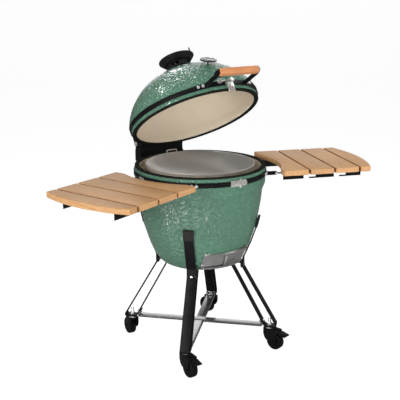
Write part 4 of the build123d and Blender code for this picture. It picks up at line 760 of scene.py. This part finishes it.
def timber(name, light, dark, deep, turn, along):
    """Oiled hardwood: long grain, fine pores and a slow change of colour, with painted shade darkening its
    gaps and corners.
    """
    finish, tree, shader = new_finish(name, light, 0.42, Specular_IOR_Level=0.06)
    grain = speckle(tree, 0.007, detail=8.0, rough=0.62, stretch=along, turn=turn, warp=0.35)
    fine = tuple(1.0 if s == 1 else 26.0 for s in along)
    pores = speckle(tree, 0.0011, detail=3.0, stretch=fine, turn=turn)
    drift = speckle(tree, 0.11, detail=2.0)
    palest = tuple(1.06 * c for c in light)
    base = ramp(tree, grain, [(0.30, dark), (0.46, light), (0.60, palest), (0.76, dark)])
    shade = ramp(tree, pores, [(0.32, deep), (0.50, (1.0, 1.0, 1.0))])
    mix = tree.nodes.new("ShaderNodeMix")
    mix.data_type = "RGBA"
    mix.blend_type = "MULTIPLY"
    mix.inputs["Factor"].default_value = 0.5
    wire(tree, base, mix.inputs[6])
    wire(tree, shade, mix.inputs[7])
    tint = tree.nodes.new("ShaderNodeMix")
    tint.data_type = "RGBA"
    tint.blend_type = "MULTIPLY"
    tint.inputs["Factor"].default_value = 0.35
    wire(tree, mix.outputs[2], tint.inputs[6])
    wire(tree, ramp(tree, drift, [(0.35, (0.80, 0.76, 0.70)), (0.65, (1.0, 1.0, 1.0))]), tint.inputs[7])
    # Painted shade: an ambient occlusion mask darkens the wood to a deep brown in narrow gaps and inside
    # corners, where shade falls.
    shade_occlusion = tree.nodes.new("ShaderNodeAmbientOcclusion")
    shade_occlusion.samples = 8
    shade_occlusion.inputs["Distance"].default_value = 0.016
    painted_gap_shade = tree.nodes.new("ShaderNodeMix")
    painted_gap_shade.data_type = "RGBA"
    painted_gap_shade.blend_type = "MULTIPLY"
    painted_gap_shade.inputs["Factor"].default_value = 1.0
    wire(tree, tint.outputs[2], painted_gap_shade.inputs[6])
    wire(tree, ramp(tree, shade_occlusion.outputs["AO"], [(0.45, (0.38, 0.24, 0.16)), (0.92, (1.0, 1.0, 1.0))]),
         painted_gap_shade.inputs[7])
    wire(tree, painted_gap_shade.outputs[2], shader.inputs["Base Color"])
    wire(tree, span(tree, grain, 0.36, 0.52), shader.inputs["Roughness"])
    bumped(tree, shader, pores, 0.00012, 0.35)
    return finish


HANDLE_LIGHT = (0.63, 0.276, 0.125)
HANDLE_DARK = (0.52, 0.212, 0.086)
handle_wood = timber("handle_timber", HANDLE_LIGHT, HANDLE_DARK, (0.55, 0.42, 0.34), 0.0, (24, 1, 1))
eased("handle_bar", 0.4, handle_wood, "wood")


# ---------------------------------------------------------------- lid thermometer
# A dial thermometer stands on its stem through the lid: a dark stainless case with a rolled bezel, its
# plain floor the dial under the glass, and a back nut.
dial_steel, tree, shader = new_finish("dial_case_steel", (0.13, 0.13, 0.13), 0.22, Metallic=1.0)
wire(tree, span(tree, speckle(tree, 0.004), 0.16, 0.3), shader.inputs["Roughness"])
eased("thermometer_case", 0.9, dial_steel, "stainless", segments=3)
eased("thermometer_needle", 0.1, black_coat, "needle_paint")
lens, tree, shader = new_finish("dial_glass", (0.95, 0.97, 0.97), 0.04, Transmission_Weight=1.0, IOR=1.45)
wire(tree, span(tree, speckle(tree, 0.01), 0.02, 0.07), shader.inputs["Roughness"])
eased("thermometer_glass", 0.3, lens, "lens")


# ---------------------------------------------------------------- chimney vent
# A cast iron neck with a flange drops into the chimney. Its hat swings aside on a rivet, and a disc with
# a bent lever turns inside the hat to open or close the ports.
for casting in ("vent_base", "vent_cap", "damper_disc"):
    eased(casting, 1.2, iron, "cast_iron", segments=3)


# ---------------------------------------------------------------- side shelves
# Four sanded hardwood slats on each side are screwed from below to two black steel rails, which fold down
# on pins at the ends of the shelf arms.
SHELF_TURN = math.radians(20.0)
SLAT_LIGHT = (0.60, 0.345, 0.166)
SLAT_DARK = (0.47, 0.245, 0.105)
for side, turn in (("right", -SHELF_TURN), ("left", SHELF_TURN)):
    for number in range(1, 5):
        shade = 1.0 + 0.05 * math.sin(2.3 * number + (1.0 if side == "left" else 0.0))
        board = timber(f"{side}_board_{number}", tuple(shade * c for c in SLAT_LIGHT),
                       tuple(shade * c for c in SLAT_DARK), (0.62, 0.50, 0.40), turn, (1, 24, 1))
        eased(f"{side}_slat_{number}", 1.8, board, "wood", segments=3)
    eased(f"{side}_shelf_brackets", 0.5, black_coat, "black_steel")
